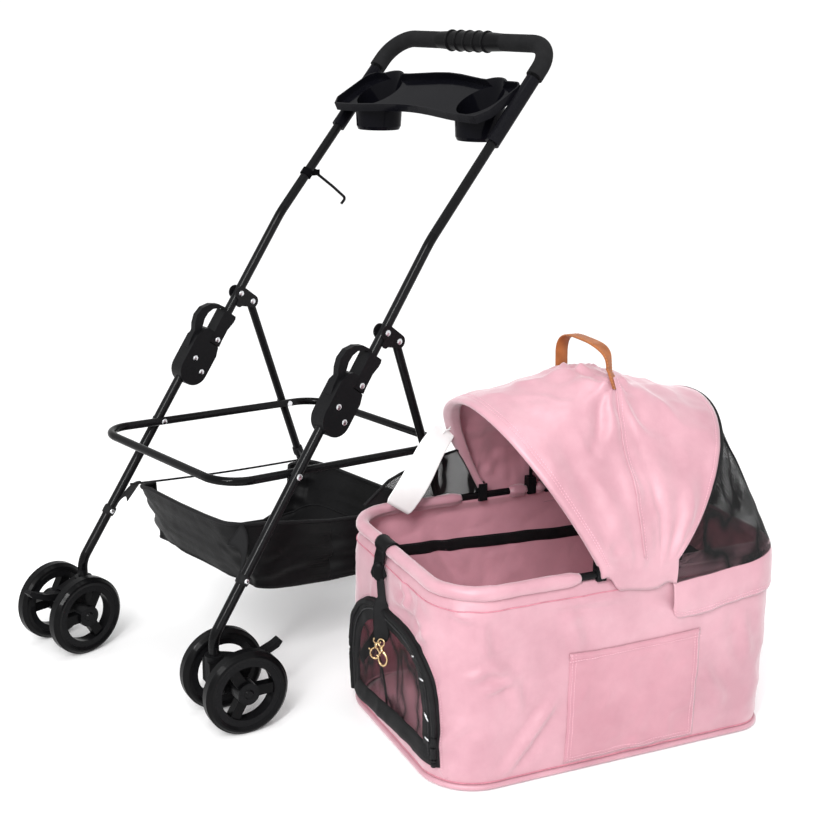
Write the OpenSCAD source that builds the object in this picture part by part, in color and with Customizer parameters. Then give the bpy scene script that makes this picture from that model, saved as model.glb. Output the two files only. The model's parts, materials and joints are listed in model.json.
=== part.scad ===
// Pet stroller: a folding tube chassis on four pairs of wheels, with its
// lift-off soft carrier standing beside it.
// Frame: origin on the floor in the chassis' middle plane, +X towards the
// carrier (the chassis' left), -Y to the front castors, +Z up. Millimetres.

/* [Side frames] */
// Half the distance between the two side frames
pole_half = 195; // [170:1:230]
// Y of the front castor stems
stem_y = -376; // [-420:1:-340]
// Height at which a lower pole bends into its stem
bend_z = 139; // [128:1:160]
// Lean of the lower poles from the vertical, in degrees
lean_low = 35.3; // [32:0.1:38]
// Lean of the handle tube above its bend, in degrees
lean_high = 42; // [39:0.5:45]
// Distance from the lower poles' axis to the handle tube's axis
tube_offset = 24; // [23:0.5:27]
// Diameter of the poles and the handle tube
pole_d = 16; // [14:0.5:17]
// Wall of every tube
tube_wall = 1.2; // [0.8:0.1:1.6]
// Height of the middle of the handle bar
bar_z = 976; // [930:1:1010]
// Bend radius at the handle's two corners
bar_bend = 50; // [40:1:60]

/* [Fold] */
// Distance along the pole from its bend to the ring pivot
ring_at = 266; // [250:1:290]
// Distance along the pole to the fold pivot
fold_at = 371; // [360:1:382]
// Distance along the pole to the leg bracket
bracket_at = 524; // [516:1:540]
// Distance from the handle tube's axis to the leg pivot
bracket_reach = 29; // [27:0.5:33]
// Distance along the pole to the bend of the handle tube
kink_at = 684; // [660:1:710]
// Distance from the leg pivot to the ring pivot on the leg
leg_to_ring = 205; // [200:0.5:212]
// Y of the rear axle
rear_y = 134; // [120:1:150]
// Diameter of the rear legs
leg_d = 14; // [12:0.5:14]
// Half thickness of a fold housing
housing_t = 15; // [14:0.5:17]
// Travel of a latch's pull loop
latch_travel = 8; // [6:0.5:9]

/* [Carrier ring] */
// Diameter of the ring's tube
ring_d = 13; // [11:0.5:13]
// Ring ahead of its pivot
ring_front = 118; // [110:1:124]
// Ring behind its pivot
ring_rear = 326; // [320:1:332]
// Corner radius of the ring
ring_corner = 50; // [40:1:60]

/* [Wheels] */
// Radius of every wheel
wheel_r = 65; // [60:1:68]
// Width of a tyre
wheel_w = 25; // [20:1:28]
// Distance between the two wheels of a pair
pair_gap = 90; // [86:1:96]
// Diameter of the axles
axle_d = 8; // [6:0.5:9]
// Distance of a castor's axle behind its stem
trail = 30; // [27:1:33]
// Direction in which the left castor trails, from +X, in degrees
left_trail_deg = 79; // [60:1:100]
// Direction in which the right castor trails, from +X, in degrees
right_trail_deg = 276; // [255:1:290]

/* [Handle and tray] */
// Diameter over the foam grip
foam_d = 29; // [27:1:32]
// Length of the ribbed grip in the middle of the bar
grip_l = 156; // [140:1:180]
// Distance of a cup's axis from the middle
cup_x = 127; // [118:1:132]
// Y of the cups' axes
cup_y = 204; // [200:1:208]
// Inner diameter of a cup at its mouth
cup_d = 84; // [78:1:88]
// Height of the cups' undersides
cup_z = 824; // [818:1:830]
// Wall of the tray
tray_t = 3; // [2.5:0.5:3.5]

/* [Storage basket] */
// Half the width of the basket's mouth
basket_half = 150; // [140:1:160]
// Wall of the basket
basket_t = 2; // [1.5:0.5:3]

/* [Carrier] */
// Width of the carrier
carrier_w = 366; // [350:1:376]
// Length of the carrier
carrier_l = 535; // [515:1:550]
// Height of the rim tube above the floor
rim_z = 290; // [275:1:305]
// Wall of the soft body
wall_t = 3; // [2:0.5:4]
// Corner radius at the door end
front_r = 75; // [65:1:90]
// Corner radius at the hood end
rear_r = 45; // [40:1:60]
// Diameter of the rim tube
rim_d = 11; // [9:0.5:12]
// Diameter over the fabric sleeve on the rim
sleeve_d = 22; // [19:0.5:23]
// Place of the carrier's middle on the floor
carrier_at = [475.6, 48.9];
// Turn of the carrier on the floor, in degrees
carrier_turn = -16.7; // [-18:0.1:-14]
// Half the width of the door
door_half = 140; // [130:1:148]
// Height of the door's crown
door_top = 216; // [205:1:225]
// Thickness of the cushion
cushion_t = 20; // [15:1:25]

/* [Hood] */
// Diameter of the hood's bows
bow_d = 6; // [5:0.5:7]
// Height of the front bow along its plane
bow_front_h = 222; // [210:1:235]
// Height of the middle bow
bow_mid_h = 236; // [225:1:245]
// Height of the rear bow along its plane
bow_rear_h = 228; // [215:1:240]
// Lean of the front bow, in degrees
bow_front_lean = -30; // [-34:1:-26]
// Lean of the rear bow, in degrees
bow_rear_lean = 38; // [34:1:42]
// Thickness of the hood's fabric
hood_t = 1.6; // [1.2:0.1:2]
// Width of the leather handle
strap_w = 20; // [16:1:24]
// Height of the leather handle over the middle bow
strap_h = 40; // [34:1:50]

/* [Hidden] */
$fn = 40;

// Fits
pin_play = 0.05;
hair = 0.1;
slide_play = 0.3;
face_play = 0.4;
rivet_d = 6;
rivet_head_d = 10;
rivet_head_t = 2;

// Side-frame geometry in the YZ plane: "a" runs up the pole from its bend,
// "p" runs square to it, to the rear.
up_low = [sin(lean_low), cos(lean_low)];
back_low = [cos(lean_low), -sin(lean_low)];
up_high = [sin(lean_high), cos(lean_high)];
function on_pole(a, p) = [stem_y, bend_z] + a * up_low + p * back_low;
function at_x(yz, x) = [x, yz[0], yz[1]];

ring_pivot = on_pole(ring_at, 0);
fold_pivot = on_pole(fold_at, tube_offset);
clamp_pt = on_pole(bracket_at, tube_offset);
leg_pivot = on_pole(bracket_at, tube_offset + bracket_reach);
kink_pt = on_pole(kink_at, tube_offset);
rear_axle = [rear_y, wheel_r];
leg_dir = (rear_axle - leg_pivot) / norm(rear_axle - leg_pivot);
leg_ring_pt = leg_pivot + leg_to_ring * leg_dir;
ring_dir = (leg_ring_pt - ring_pivot) / norm(leg_ring_pt - ring_pivot);
ring_half = pole_half - pole_d / 2 - ring_d / 2 - 1.5;

// Handle: the corner where the side tube's line meets the bar's height
bar_yz = kink_pt + up_high * (bar_z - kink_pt[1]) / up_high[1];

// Fold housing, in "a" and "p" along the pole
stem_low = 76;
pole_bend = 45;
kink_bend = 200;
pole_end = fold_at + 29;
housing_r = 27;
housing_mid = housing_r - 18;
housing_low = fold_at - 30;
housing_p0 = -18;
housing_p1 = tube_offset + 12;
cheek_top = fold_at + 51;
ridge_top = fold_at + 71;
block_low = cheek_top + 2;
block_top = fold_at + 113;
tongue_r = 11;
tongue_half = 7.7;
channel_half = tongue_half + slide_play;
tongue_front = tube_offset - tongue_r - 0.6;
ridge_pin_at = fold_at + 15;
block_pin_at = fold_at + 62;
block_half = 13;
block_p0 = 10;
block_p1 = tube_offset + 12.5;
ridge_back = block_p0 - face_play;
tube_start = fold_at + 57;

// Latch
latch_low = fold_at + 26;
latch_half = 6;
latch_foot = 8;
latch_foot_t = 1.6;
latch_p1 = -11.8;
lip_p0 = block_p0 + 2.5;
lip_t = 2.6;
lip_l = 6;

// Leg bracket plates, from the side frame's plane
plate_in = leg_d / 2 + 1.2;
plate_out = plate_in + 2.5;
cross_d = 12;
cross_pt = rear_axle - 82 * leg_dir;
brake_pt = rear_axle + [24, 18];

// Castors and wheels
hub_gap = (pair_gap - wheel_w) / 2 - face_play;
collar_z = 112;
lock_at = [trail + 18, 90];
rim_r = wheel_r - 13;

// Tray plane: through the cups' axes, rising to the rear
tray_slope = 28;
tray_mid_z = cup_z + 60;
tray_half = pole_half - 4;
tray_back = 48;
tray_front = -60;
tray_dip = 14;
tray_wall_h = 14;
tray_sleeve_d = pole_d + 8;
foam_low_z = 926;
hook_z = 748;
hook_reach = 19;
sleeve_low_z = 826;
sleeve_high_z = 922;
function tube_y(z) = kink_pt[0] + (z - kink_pt[1]) * tan(lean_high);

// Carrier
rim_inset = 6;
hinge_y = [-35, 53, 85];
hinge_h = 14;
hinge_half = 7;
flap_y = hinge_y[2] + 10;
tether_x = -28;
handle_x = -10;
canopy_half = carrier_w / 2 - rim_inset + sleeve_d / 2 + 2;
canopy_low = 28;
// Outline of the middle bow: share of its height, share of its half width
crown = [[0, 1], [0.275, 0.961], [0.43, 0.845], [0.596, 0.663], [0.775, 0.486], [0.93, 0.348], [1, 0]];

// ---------- helpers ----------
function unit(v) = v / norm(v);
function arc_pts(c, r, a0, a1, n = 8) =
    [for (i = [0:n]) let (a = a0 + (a1 - a0) * i / n) c + r * [cos(a), sin(a)]];
function pow_arc(u, k) = sign(u) * pow(abs(u), k);
function round_rect(hx, y0, y1, r0, r1) = concat(
    arc_pts([hx - r1, y1 - r1], r1, 0, 90), arc_pts([-hx + r1, y1 - r1], r1, 90, 180),
    arc_pts([-hx + r0, y0 + r0], r0, 180, 270), arc_pts([hx - r0, y0 + r0], r0, 270, 360));

// Turns +Z to point along v
module aim(v) {
    rotate([0, acos(v[2] / norm(v)), atan2(v[1], v[0])]) children();
}

// Extrudes an outline of [y, z] points from x0 to x1
module side_plate(x0, x1) {
    multmatrix([[0, 0, 1, x0], [1, 0, 0, 0], [0, 1, 0, 0], [0, 0, 0, 1]])
        linear_extrude(x1 - x0) children();
}

// The same for an outline of [a, p] points along the pole
module pole_plate(x0, x1) {
    multmatrix([[0, 0, -1, x1], [up_low[0], back_low[0], 0, stem_y],
            [up_low[1], back_low[1], 0, bend_z], [0, 0, 0, 1]])
        linear_extrude(x1 - x0) children();
}

// A pin along X
module cross_pin(yz, x0, x1, d) {
    translate(at_x(yz, x0)) rotate([0, 90, 0]) cylinder(h = x1 - x0, d = d);
}

// A rivet along X with a domed head at each end
module rivet(yz, x0, x1, d = rivet_d) {
    cross_pin(yz, x0, x1, d);
    for (e = [[x0, -90], [x1, 90]])
        translate(at_x(yz, e[0])) rotate([0, e[1], 0])
            rotate_extrude() polygon(concat([[0, 0]],
                [for (i = [0:5]) [rivet_head_d / 2 * cos(i * 18), rivet_head_t * sin(i * 18)]]));
}

module hollow(d, wall) {
    difference() {
        circle(d = d);
        if (wall > 0) circle(d = d - 2 * wall);
    }
}

// A tube through corner points, each corner bent to its own radius. Straights
// and bends stop a hair short of each other and a ring in the wall joins them.
module tube_run(pts, bends, d, wall = tube_wall) {
    last = len(pts) - 1;
    closed = norm(pts[0] - pts[last]) < 0.01;
    function turn(i) = acos(unit(pts[i] - pts[i - 1]) * unit(pts[i + 1] - pts[i]));
    function trim(i) = i == 0 || i == last ? 0 : bends[i] * tan(turn(i) / 2);
    function short(i) = (i == 0 || i == last) && !closed ? 0 : hair;
    for (i = [0:last - 1]) {
        dir = unit(pts[i + 1] - pts[i]);
        a = pts[i] + dir * (trim(i) + short(i));
        b = pts[i + 1] - dir * (trim(i + 1) + short(i + 1));
        translate(a) aim(dir) linear_extrude(norm(b - a)) hollow(d, wall);
    }
    if (last > 1) for (i = [1:last - 1]) {
        u = unit(pts[i] - pts[i - 1]);
        w = unit(pts[i + 1] - pts[i]);
        n = unit(w - u * (u * w));
        k = cross(u, n);
        c = pts[i] - u * trim(i) + bends[i] * n;
        g = hair / bends[i] * 180 / PI;
        multmatrix([[-n[0], u[0], k[0], c[0]], [-n[1], u[1], k[1], c[1]],
                [-n[2], u[2], k[2], c[2]], [0, 0, 0, 1]])
            rotate([0, 0, g]) rotate_extrude(angle = turn(i) - 2 * g)
                translate([bends[i], 0]) hollow(d, wall);
        joining_ring(pts[i] - u * trim(i), u, d, wall);
        joining_ring(pts[i] + w * trim(i), w, d, wall);
    }
    if (closed) joining_ring(pts[0], unit(pts[1] - pts[0]), d, wall);
}

module joining_ring(at, dir, d, wall) {
    translate(at - 0.6 * dir) aim(dir) linear_extrude(1.2)
        hollow(d - 2 * hair, wall > 0 ? wall - 2 * hair : 0);
}

function reversed(faces) = [for (f = faces) [for (k = [len(f) - 1:-1:0]) f[k]]];

// Closed skin between grids of points: rows of equal length, outside first
module skin(outer, inner) {
    rows = len(outer);
    cols = len(outer[0]);
    count = rows * cols;
    pts = concat([for (r = outer) each r], [for (r = inner) each r]);
    function at(i, j, s) = s * count + i * cols + j;
    faces = concat(
        [for (i = [0:rows - 2], j = [0:cols - 2]) each
            [[at(i, j, 0), at(i + 1, j, 0), at(i + 1, j + 1, 0)],
             [at(i, j, 0), at(i + 1, j + 1, 0), at(i, j + 1, 0)],
             [at(i, j, 1), at(i + 1, j + 1, 1), at(i + 1, j, 1)],
             [at(i, j, 1), at(i, j + 1, 1), at(i + 1, j + 1, 1)]]],
        [for (j = [0:cols - 2]) each
            [[at(0, j, 0), at(0, j + 1, 0), at(0, j + 1, 1)],
             [at(0, j, 0), at(0, j + 1, 1), at(0, j, 1)],
             [at(rows - 1, j, 0), at(rows - 1, j + 1, 1), at(rows - 1, j + 1, 0)],
             [at(rows - 1, j, 0), at(rows - 1, j, 1), at(rows - 1, j + 1, 1)]]],
        [for (i = [0:rows - 2]) each
            [[at(i, 0, 0), at(i, 0, 1), at(i + 1, 0, 1)],
             [at(i, 0, 0), at(i + 1, 0, 1), at(i + 1, 0, 0)],
             [at(i, cols - 1, 0), at(i + 1, cols - 1, 1), at(i, cols - 1, 1)],
             [at(i, cols - 1, 0), at(i + 1, cols - 1, 0), at(i + 1, cols - 1, 1)]]]);
    polyhedron(pts, reversed(faces));
}

// A round wire through points, made of rings of eight
module wire(path, d) {
    sides = 8;
    last = len(path) - 1;
    function along(i) = unit(path[min(i + 1, last)] - path[max(i - 1, 0)]);
    function flat_side(t) = unit(cross(t, abs(t[0]) > 0.9 ? [0, 1, 0] : [1, 0, 0]));
    pts = [for (i = [0:last]) let (t = along(i), u = flat_side(t), w = cross(t, u))
        for (k = [0:sides - 1]) path[i] + d / 2 * (u * cos(k * 45) + w * sin(k * 45))];
    faces = concat(
        [[for (k = [sides - 1:-1:0]) k], [for (k = [0:sides - 1]) last * sides + k]],
        [for (i = [0:last - 1], k = [0:sides - 1]) let (n = (k + 1) % sides)
            each [[i * sides + k, i * sides + n, (i + 1) * sides + n],
                [i * sides + k, (i + 1) * sides + n, (i + 1) * sides + k]]]);
    polyhedron(pts, reversed(faces));
}

module side(s) {
    mirror([s < 0 ? 1 : 0, 0, 0]) children();
}

// ---------- side frames ----------
module lower_pole() {
    difference() {
        tube_run([[pole_half, stem_y, stem_low], [pole_half, stem_y, bend_z],
            at_x(on_pole(pole_end, 0), pole_half)], [0, pole_bend, 0], pole_d);
        for (a = [ring_at, ridge_pin_at])
            cross_pin(on_pole(a, 0), pole_half - pole_d, pole_half + pole_d, rivet_d + 2 * pin_play);
    }
}

module housing_outline() {
    polygon(concat(arc_pts([housing_low + housing_r, housing_mid], housing_r, 90, 270, 16), [
        [fold_at + 48, housing_p0], [ridge_top - 4, housing_p0 + 8], [ridge_top, housing_p0 + 13],
        [ridge_top, ridge_back], [cheek_top, ridge_back], [cheek_top, housing_p1 - 5],
        [fold_at + 36, housing_p1]]));
}

module fold_housing() {
    difference() {
        pole_plate(pole_half - housing_t, pole_half + housing_t) housing_outline();
        // channel for the hinge block's tongue
        pole_plate(pole_half - channel_half, pole_half + channel_half)
            polygon([[housing_low - 9, tongue_front], [cheek_top + 9, tongue_front],
                [cheek_top + 9, housing_p1 + 9], [housing_low - 9, housing_p1 + 9]]);
        // slot for the latch
        pole_plate(pole_half - latch_half - slide_play, pole_half + latch_half + slide_play)
            polygon([[latch_low - slide_play, housing_p0 - 9], [ridge_top + 9, housing_p0 - 9],
                [ridge_top + 9, latch_p1 + slide_play], [latch_low - slide_play, latch_p1 + slide_play]]);
        pole_plate(pole_half - latch_foot - slide_play, pole_half + latch_foot + slide_play)
            polygon([[latch_low - slide_play, latch_p1 - latch_foot_t - slide_play],
                [ridge_top + 9, latch_p1 - latch_foot_t - slide_play],
                [ridge_top + 9, latch_p1 + slide_play], [latch_low - slide_play, latch_p1 + slide_play]]);
        translate(at_x(on_pole(housing_low - 9, 0), pole_half)) aim([0, up_low[0], up_low[1]])
            cylinder(h = pole_end - housing_low + 9.5, d = pole_d + 2 * pin_play);
        for (c = [fold_pivot, on_pole(ridge_pin_at, 0)])
            cross_pin(c, pole_half - 2 * housing_t, pole_half + 2 * housing_t, rivet_d + 2 * pin_play);
    }
}

module housing_rivets() {
    for (s = [-1, 1]) side(s) for (c = [fold_pivot, on_pole(ridge_pin_at, 0)])
        rivet(c, pole_half - housing_t - pin_play, pole_half + housing_t + pin_play);
}

// Pull loop: rides in the housing's slot and hooks over the block's front wall
module latch() {
    pole_plate(pole_half - latch_half, pole_half + latch_half) polygon([
        [latch_low, latch_p1], [latch_low, -18], [fold_at + 40, -21], [fold_at + 56, -22],
        [fold_at + 66, -28], [fold_at + 80, -32], [fold_at + 96, -29], [fold_at + 109, -18],
        [fold_at + 116, -5], [block_top + 5, lip_p0], [block_top + 4, lip_p0 + lip_t],
        [block_top - lip_l, lip_p0 + lip_t], [block_top - lip_l, lip_p0], [block_top + 0.6, lip_p0],
        [block_top + 0.6, 8], [fold_at + 110, 0], [fold_at + 104, -9], [fold_at + 94, -14],
        [fold_at + 82, -15], [fold_at + 74, latch_p1 - 1], [fold_at + 70, latch_p1]]);
    pole_plate(pole_half - latch_foot, pole_half + latch_foot)
        polygon([[latch_low, latch_p1 - latch_foot_t], [fold_at + 60, latch_p1 - latch_foot_t],
            [fold_at + 60, latch_p1], [latch_low, latch_p1]]);
}

// ---------- upper frame ----------
module hinge_block() {
    difference() {
        union() {
            pole_plate(pole_half - block_half, pole_half + block_half) polygon([
                [block_low, block_p0], [block_top, block_p0], [block_top, block_p1 - 2],
                [block_top - 4, block_p1], [fold_at + 102, block_p1], [fold_at + 86, block_p1 - 4],
                [fold_at + 66, block_p1 - 4], [block_low, block_p1 - 3]]);
            pole_plate(pole_half - tongue_half, pole_half + tongue_half) union() {
                translate([fold_at, tube_offset]) circle(r = tongue_r);
                translate([fold_at, tube_offset - tongue_r])
                    square([block_low - fold_at + 1, 2 * tongue_r]);
            }
        }
        translate(at_x(on_pole(tube_start - 0.3, tube_offset), pole_half)) aim([0, up_low[0], up_low[1]])
            cylinder(h = block_top - tube_start + 9, d = pole_d + 2 * pin_play);
        pole_plate(pole_half - latch_half - 0.4, pole_half + latch_half + 0.4)
            polygon([[block_top - lip_l - 1.4, lip_p0 - 0.5], [block_top + 1, lip_p0 - 0.5],
                [block_top + 1, lip_p0 + lip_t + 0.5], [block_top - lip_l - 1.4, lip_p0 + lip_t + 0.5]]);
        for (c = [fold_pivot, on_pole(block_pin_at, tube_offset)])
            cross_pin(c, pole_half - 2 * housing_t, pole_half + 2 * housing_t, rivet_d + 2 * pin_play);
    }
}

module handle_tube() {
    low = on_pole(tube_start, tube_offset);
    difference() {
        tube_run([at_x(low, pole_half), at_x(kink_pt, pole_half), at_x(bar_yz, pole_half),
            at_x(bar_yz, -pole_half), at_x(kink_pt, -pole_half), at_x(low, -pole_half)],
            [0, kink_bend, bar_bend, bar_bend, kink_bend, 0], pole_d);
        for (s = [-1, 1]) side(s) for (c = [on_pole(block_pin_at, tube_offset), clamp_pt])
            cross_pin(c, pole_half - pole_d, pole_half + pole_d, rivet_d + 2 * pin_play);
    }
}

module foam_grips() {
    for (s = [-1, 1]) side(s)
        tube_run([at_x(bar_yz, grip_l / 2 + 0.3), at_x(bar_yz, pole_half),
            [pole_half, tube_y(foam_low_z), foam_low_z]],
            [0, bar_bend, 0], foam_d, (foam_d - pole_d) / 2 - pin_play);
}

// Ribbed grip: turned profile along X, slightly fuller in the middle
module centre_grip() {
    r_end = foam_d / 2;
    difference() {
        union() {
            translate(at_x(bar_yz, -grip_l / 2)) rotate([0, 90, 0]) rotate_extrude()
                polygon(concat([[0, 0]], [for (i = [0:24]) let (t = i / 24)
                    [r_end + 2.5 * sin(180 * t), grip_l * t]], [[0, grip_l]]));
            for (i = [0:4]) translate(at_x(bar_yz, -48 + 22 * i)) rotate([0, 90, 0])
                rotate_extrude() translate([r_end + 2, 0]) circle(r = 2.2, $fn = 16);
        }
        translate(at_x(bar_yz, -grip_l)) rotate([0, 90, 0])
            cylinder(h = 2 * grip_l, d = pole_d + 2 * pin_play);
    }
}

// Tray, drawn flat in its own plane: v runs up the slope, w square to it
module tray_plane() {
    translate([0, cup_y, tray_mid_z]) rotate([tray_slope, 0, 0]) children();
}

function tray_outline(inset) = concat(
    arc_pts([tray_half - 20, tray_back - 20], 20 - inset, 0, 80, 6),
    [for (i = [0:8]) let (t = 1 - i / 4)
        [t * 120, tray_back + 14 * pow(cos(t * 90), 2) - inset]],
    arc_pts([-tray_half + 20, tray_back - 20], 20 - inset, 100, 180, 6),
    [[-tray_half + inset, tray_front + 20], [-tray_half + 14 + inset, tray_front + inset]],
    [for (i = [0:12]) let (t = i / 6 - 1)
        [t * (tray_half - 30), tray_front + tray_dip * pow(cos(t * 90), 2) + inset]],
    [[tray_half - 14 - inset, tray_front + inset], [tray_half - inset, tray_front + 20]]);

module cup_shape(extra, floor_z, top_z) {
    for (s = [-1, 1]) translate([s * cup_x, cup_y, 0]) rotate_extrude() polygon([
        [0, floor_z], [cup_d / 2 - 9 + extra, floor_z], [cup_d / 2 - 6 + extra, floor_z + 6],
        [cup_d / 2 + extra, top_z], [0, top_z]]);
}

module parent_tray() {
    difference() {
        union() {
            tray_plane() linear_extrude(tray_wall_h) polygon(tray_outline(0));
            difference() {
                cup_shape(tray_t, cup_z, tray_mid_z + 60);
                tray_plane() translate([-300, -200, tray_wall_h - 0.01]) cube([600, 400, 200]);
            }
            tray_sleeves(tray_sleeve_d, sleeve_low_z, sleeve_high_z);
        }
        tray_plane() translate([0, 0, tray_t]) linear_extrude(tray_wall_h) polygon(tray_outline(tray_t));
        cup_shape(0, cup_z + tray_t, tray_mid_z + 61);
        tray_sleeves(pole_d + 2 * pin_play, sleeve_low_z - 30, sleeve_high_z + 30);
    }
}

module tray_sleeves(d, z0, z1) {
    for (s = [-1, 1]) translate([s * pole_half, tube_y(z0), z0])
        aim([0, up_high[0], up_high[1]]) cylinder(h = (z1 - z0) / up_high[1], d = d);
}

module handle_fasteners() {
    for (s = [-1, 1]) side(s) {
        rivet(on_pole(block_pin_at, tube_offset), pole_half - block_half - pin_play,
            pole_half + block_half + pin_play);
        for (c = [clamp_pt, leg_pivot])
            rivet(c, pole_half - plate_out - pin_play, pole_half + plate_out + pin_play);
    }
    // clip that carries the fold hook
    difference() {
        union() {
            translate([-pole_half, tube_y(hook_z) - 6 * up_high[0], hook_z - 6 * up_high[1]])
                aim([0, up_high[0], up_high[1]]) cylinder(h = 12, d = pole_d + 5);
            translate([-pole_half - 6, tube_y(hook_z), hook_z - 5]) cube([12, hook_reach + 5, 10]);
        }
        translate([-pole_half, tube_y(hook_z - 30), hook_z - 30]) aim([0, up_high[0], up_high[1]])
            cylinder(h = 90, d = pole_d + 2 * pin_play);
        translate([-pole_half - 3.3, tube_y(hook_z) + pole_d / 2 + 2, hook_z - 9]) cube([6.6, 30, 18]);
        cross_pin([tube_y(hook_z) + hook_reach, hook_z], -pole_half - 20, -pole_half + 20, 3);
    }
    cross_pin([tube_y(hook_z) + hook_reach, hook_z], -pole_half - 6, -pole_half + 6, 2.8);
}

module leg_bracket() {
    foot = on_pole(bracket_at - 17, tube_offset + 7);
    n = [-(leg_pivot - clamp_pt)[1], (leg_pivot - clamp_pt)[0]] / bracket_reach;
    for (x = [pole_half - plate_out, pole_half + plate_in]) difference() {
        side_plate(x, x + plate_out - plate_in) union() {
            translate(clamp_pt) circle(r = 12);
            translate(leg_pivot) circle(r = 11);
            translate(foot) circle(r = 6);
            polygon([clamp_pt + 12 * n, leg_pivot + 11 * n, leg_pivot - 11 * n, foot - 4 * n,
                clamp_pt - 12 * n]);
        }
        for (c = [clamp_pt, leg_pivot]) cross_pin(c, x - 9, x + 9, rivet_d + 2 * pin_play);
    }
}

// Hinged rod whose tip hooks the folded frame
module fold_hook() {
    y0 = tube_y(hook_z) + hook_reach;
    difference() {
        cross_pin([y0, hook_z], -pole_half - 3, -pole_half + 3, 8);
        cross_pin([y0, hook_z], -pole_half - 9, -pole_half + 9, 2.8 + 2 * pin_play);
    }
    tube_run([for (q = [[2.8, -2.4], [39, -28], [68, -51], [58, -60]])
        [-pole_half, y0 + q[0], hook_z + q[1]]], [0, 12, 5, 0], 5, 0);
}

// ---------- carrier ring ----------
module carrier_ring() {
    function on_ring(x, t) = at_x(ring_pivot + t * ring_dir, x);
    difference() {
        tube_run([on_ring(0, -ring_front), on_ring(ring_half, -ring_front),
            on_ring(ring_half, ring_rear), on_ring(-ring_half, ring_rear),
            on_ring(-ring_half, -ring_front), on_ring(0, -ring_front)],
            [0, ring_corner, ring_corner, ring_corner, ring_corner, 0], ring_d, 0);
        for (s = [-1, 1]) side(s) for (c = [ring_pivot, leg_ring_pt])
            cross_pin(c, ring_half - ring_d, ring_half + ring_d, rivet_d + 2 * pin_play);
    }
}

module ring_rivets() {
    x0 = ring_half - ring_d / 2 - pin_play;
    for (s = [-1, 1]) side(s) {
        rivet(ring_pivot, x0, pole_half + pole_d / 2 + 0.4);
        cross_pin(leg_ring_pt, x0 - 1, ring_half + ring_d / 2 + 0.5, rivet_d);
        cross_pin(leg_ring_pt, x0 - 1.5, x0, rivet_head_d);
    }
}

// ---------- rear legs ----------
module rear_leg() {
    difference() {
        tube_run([at_x(leg_pivot - 8 * leg_dir, pole_half), at_x(rear_axle - 20 * leg_dir, pole_half)],
            [0, 0], leg_d);
        cross_pin(leg_pivot, pole_half - 20, pole_half + 20, rivet_d + 2 * pin_play);
        translate(at_x(cross_pt, -pole_half)) rotate([0, 90, 0])
            cylinder(h = 2 * pole_half - 0.5, d = cross_d + 2 * pin_play);
    }
    // head of the ring's pivot rivet on the leg's outer side
    translate(at_x(leg_ring_pt, pole_half + leg_d / 2 - 0.6)) rotate([0, 90, 0])
        cylinder(h = 2.4, d = rivet_head_d);
}

module rear_cross_tube() {
    tube_run([at_x(cross_pt, -pole_half + 1), at_x(cross_pt, pole_half - 1)], [0, 0], cross_d);
}

module rear_housing() {
    difference() {
        union() {
            translate(at_x(rear_axle - 64 * leg_dir, pole_half)) aim(at_x(leg_dir, 0))
                cylinder(h = 50, d1 = leg_d + 6, d2 = leg_d + 12);
            side_plate(pole_half - 15, pole_half + 15) polygon([
                rear_axle + [-18, -8], rear_axle + [12, -12], rear_axle + [24, 0],
                rear_axle + [34, 22], rear_axle + [28, 31], rear_axle + [2, 34],
                rear_axle + [-20, 30]]);
            cross_pin(rear_axle, pole_half - hub_gap, pole_half + hub_gap, 24);
        }
        translate(at_x(rear_axle - 90 * leg_dir, pole_half)) aim(at_x(leg_dir, 0))
            cylinder(h = 70.5, d = leg_d + 2 * pin_play);
        cross_pin(rear_axle, pole_half - 60, pole_half + 60, axle_d + 2 * pin_play);
        // clevis for the brake pedal
        side_plate(pole_half - 9.3, pole_half + 9.3) translate(brake_pt) circle(r = 13);
        cross_pin(brake_pt, pole_half - 16, pole_half + 16, 5 + 2 * pin_play);
    }
}

module rear_axles() {
    for (s = [-1, 1]) translate(at_x(rear_axle, s * pole_half)) rotate([0, 90, 0]) axle();
}

// Brake pedal: hinged in the housing's clevis
module brake() {
    cross_pin(brake_pt, pole_half - 15.5, pole_half + 15.5, 5);
    side_plate(pole_half - 9, pole_half + 9) union() {
        translate(brake_pt) circle(r = 8);
        polygon([brake_pt + [-2, 7], brake_pt + [40, 14], brake_pt + [46, 10],
            brake_pt + [44, 7], brake_pt + [4, -7]]);
    }
}

// ---------- castors and wheels ----------
// Axle along Z with a cap beyond each wheel
module axle() {
    l = pair_gap + wheel_w + 2 * face_play;
    cylinder(h = l, d = axle_d, center = true);
    for (m = [0, 1]) mirror([0, 0, m]) translate([0, 0, l / 2]) cylinder(h = 2.5, d1 = 15, d2 = 11);
}

// Castor frame: origin under the stem, +X to the trailing side
module at_castor(s) {
    translate([s * pole_half, stem_y, 0])
        rotate([0, 0, s > 0 ? left_trail_deg : right_trail_deg]) children();
}

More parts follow.
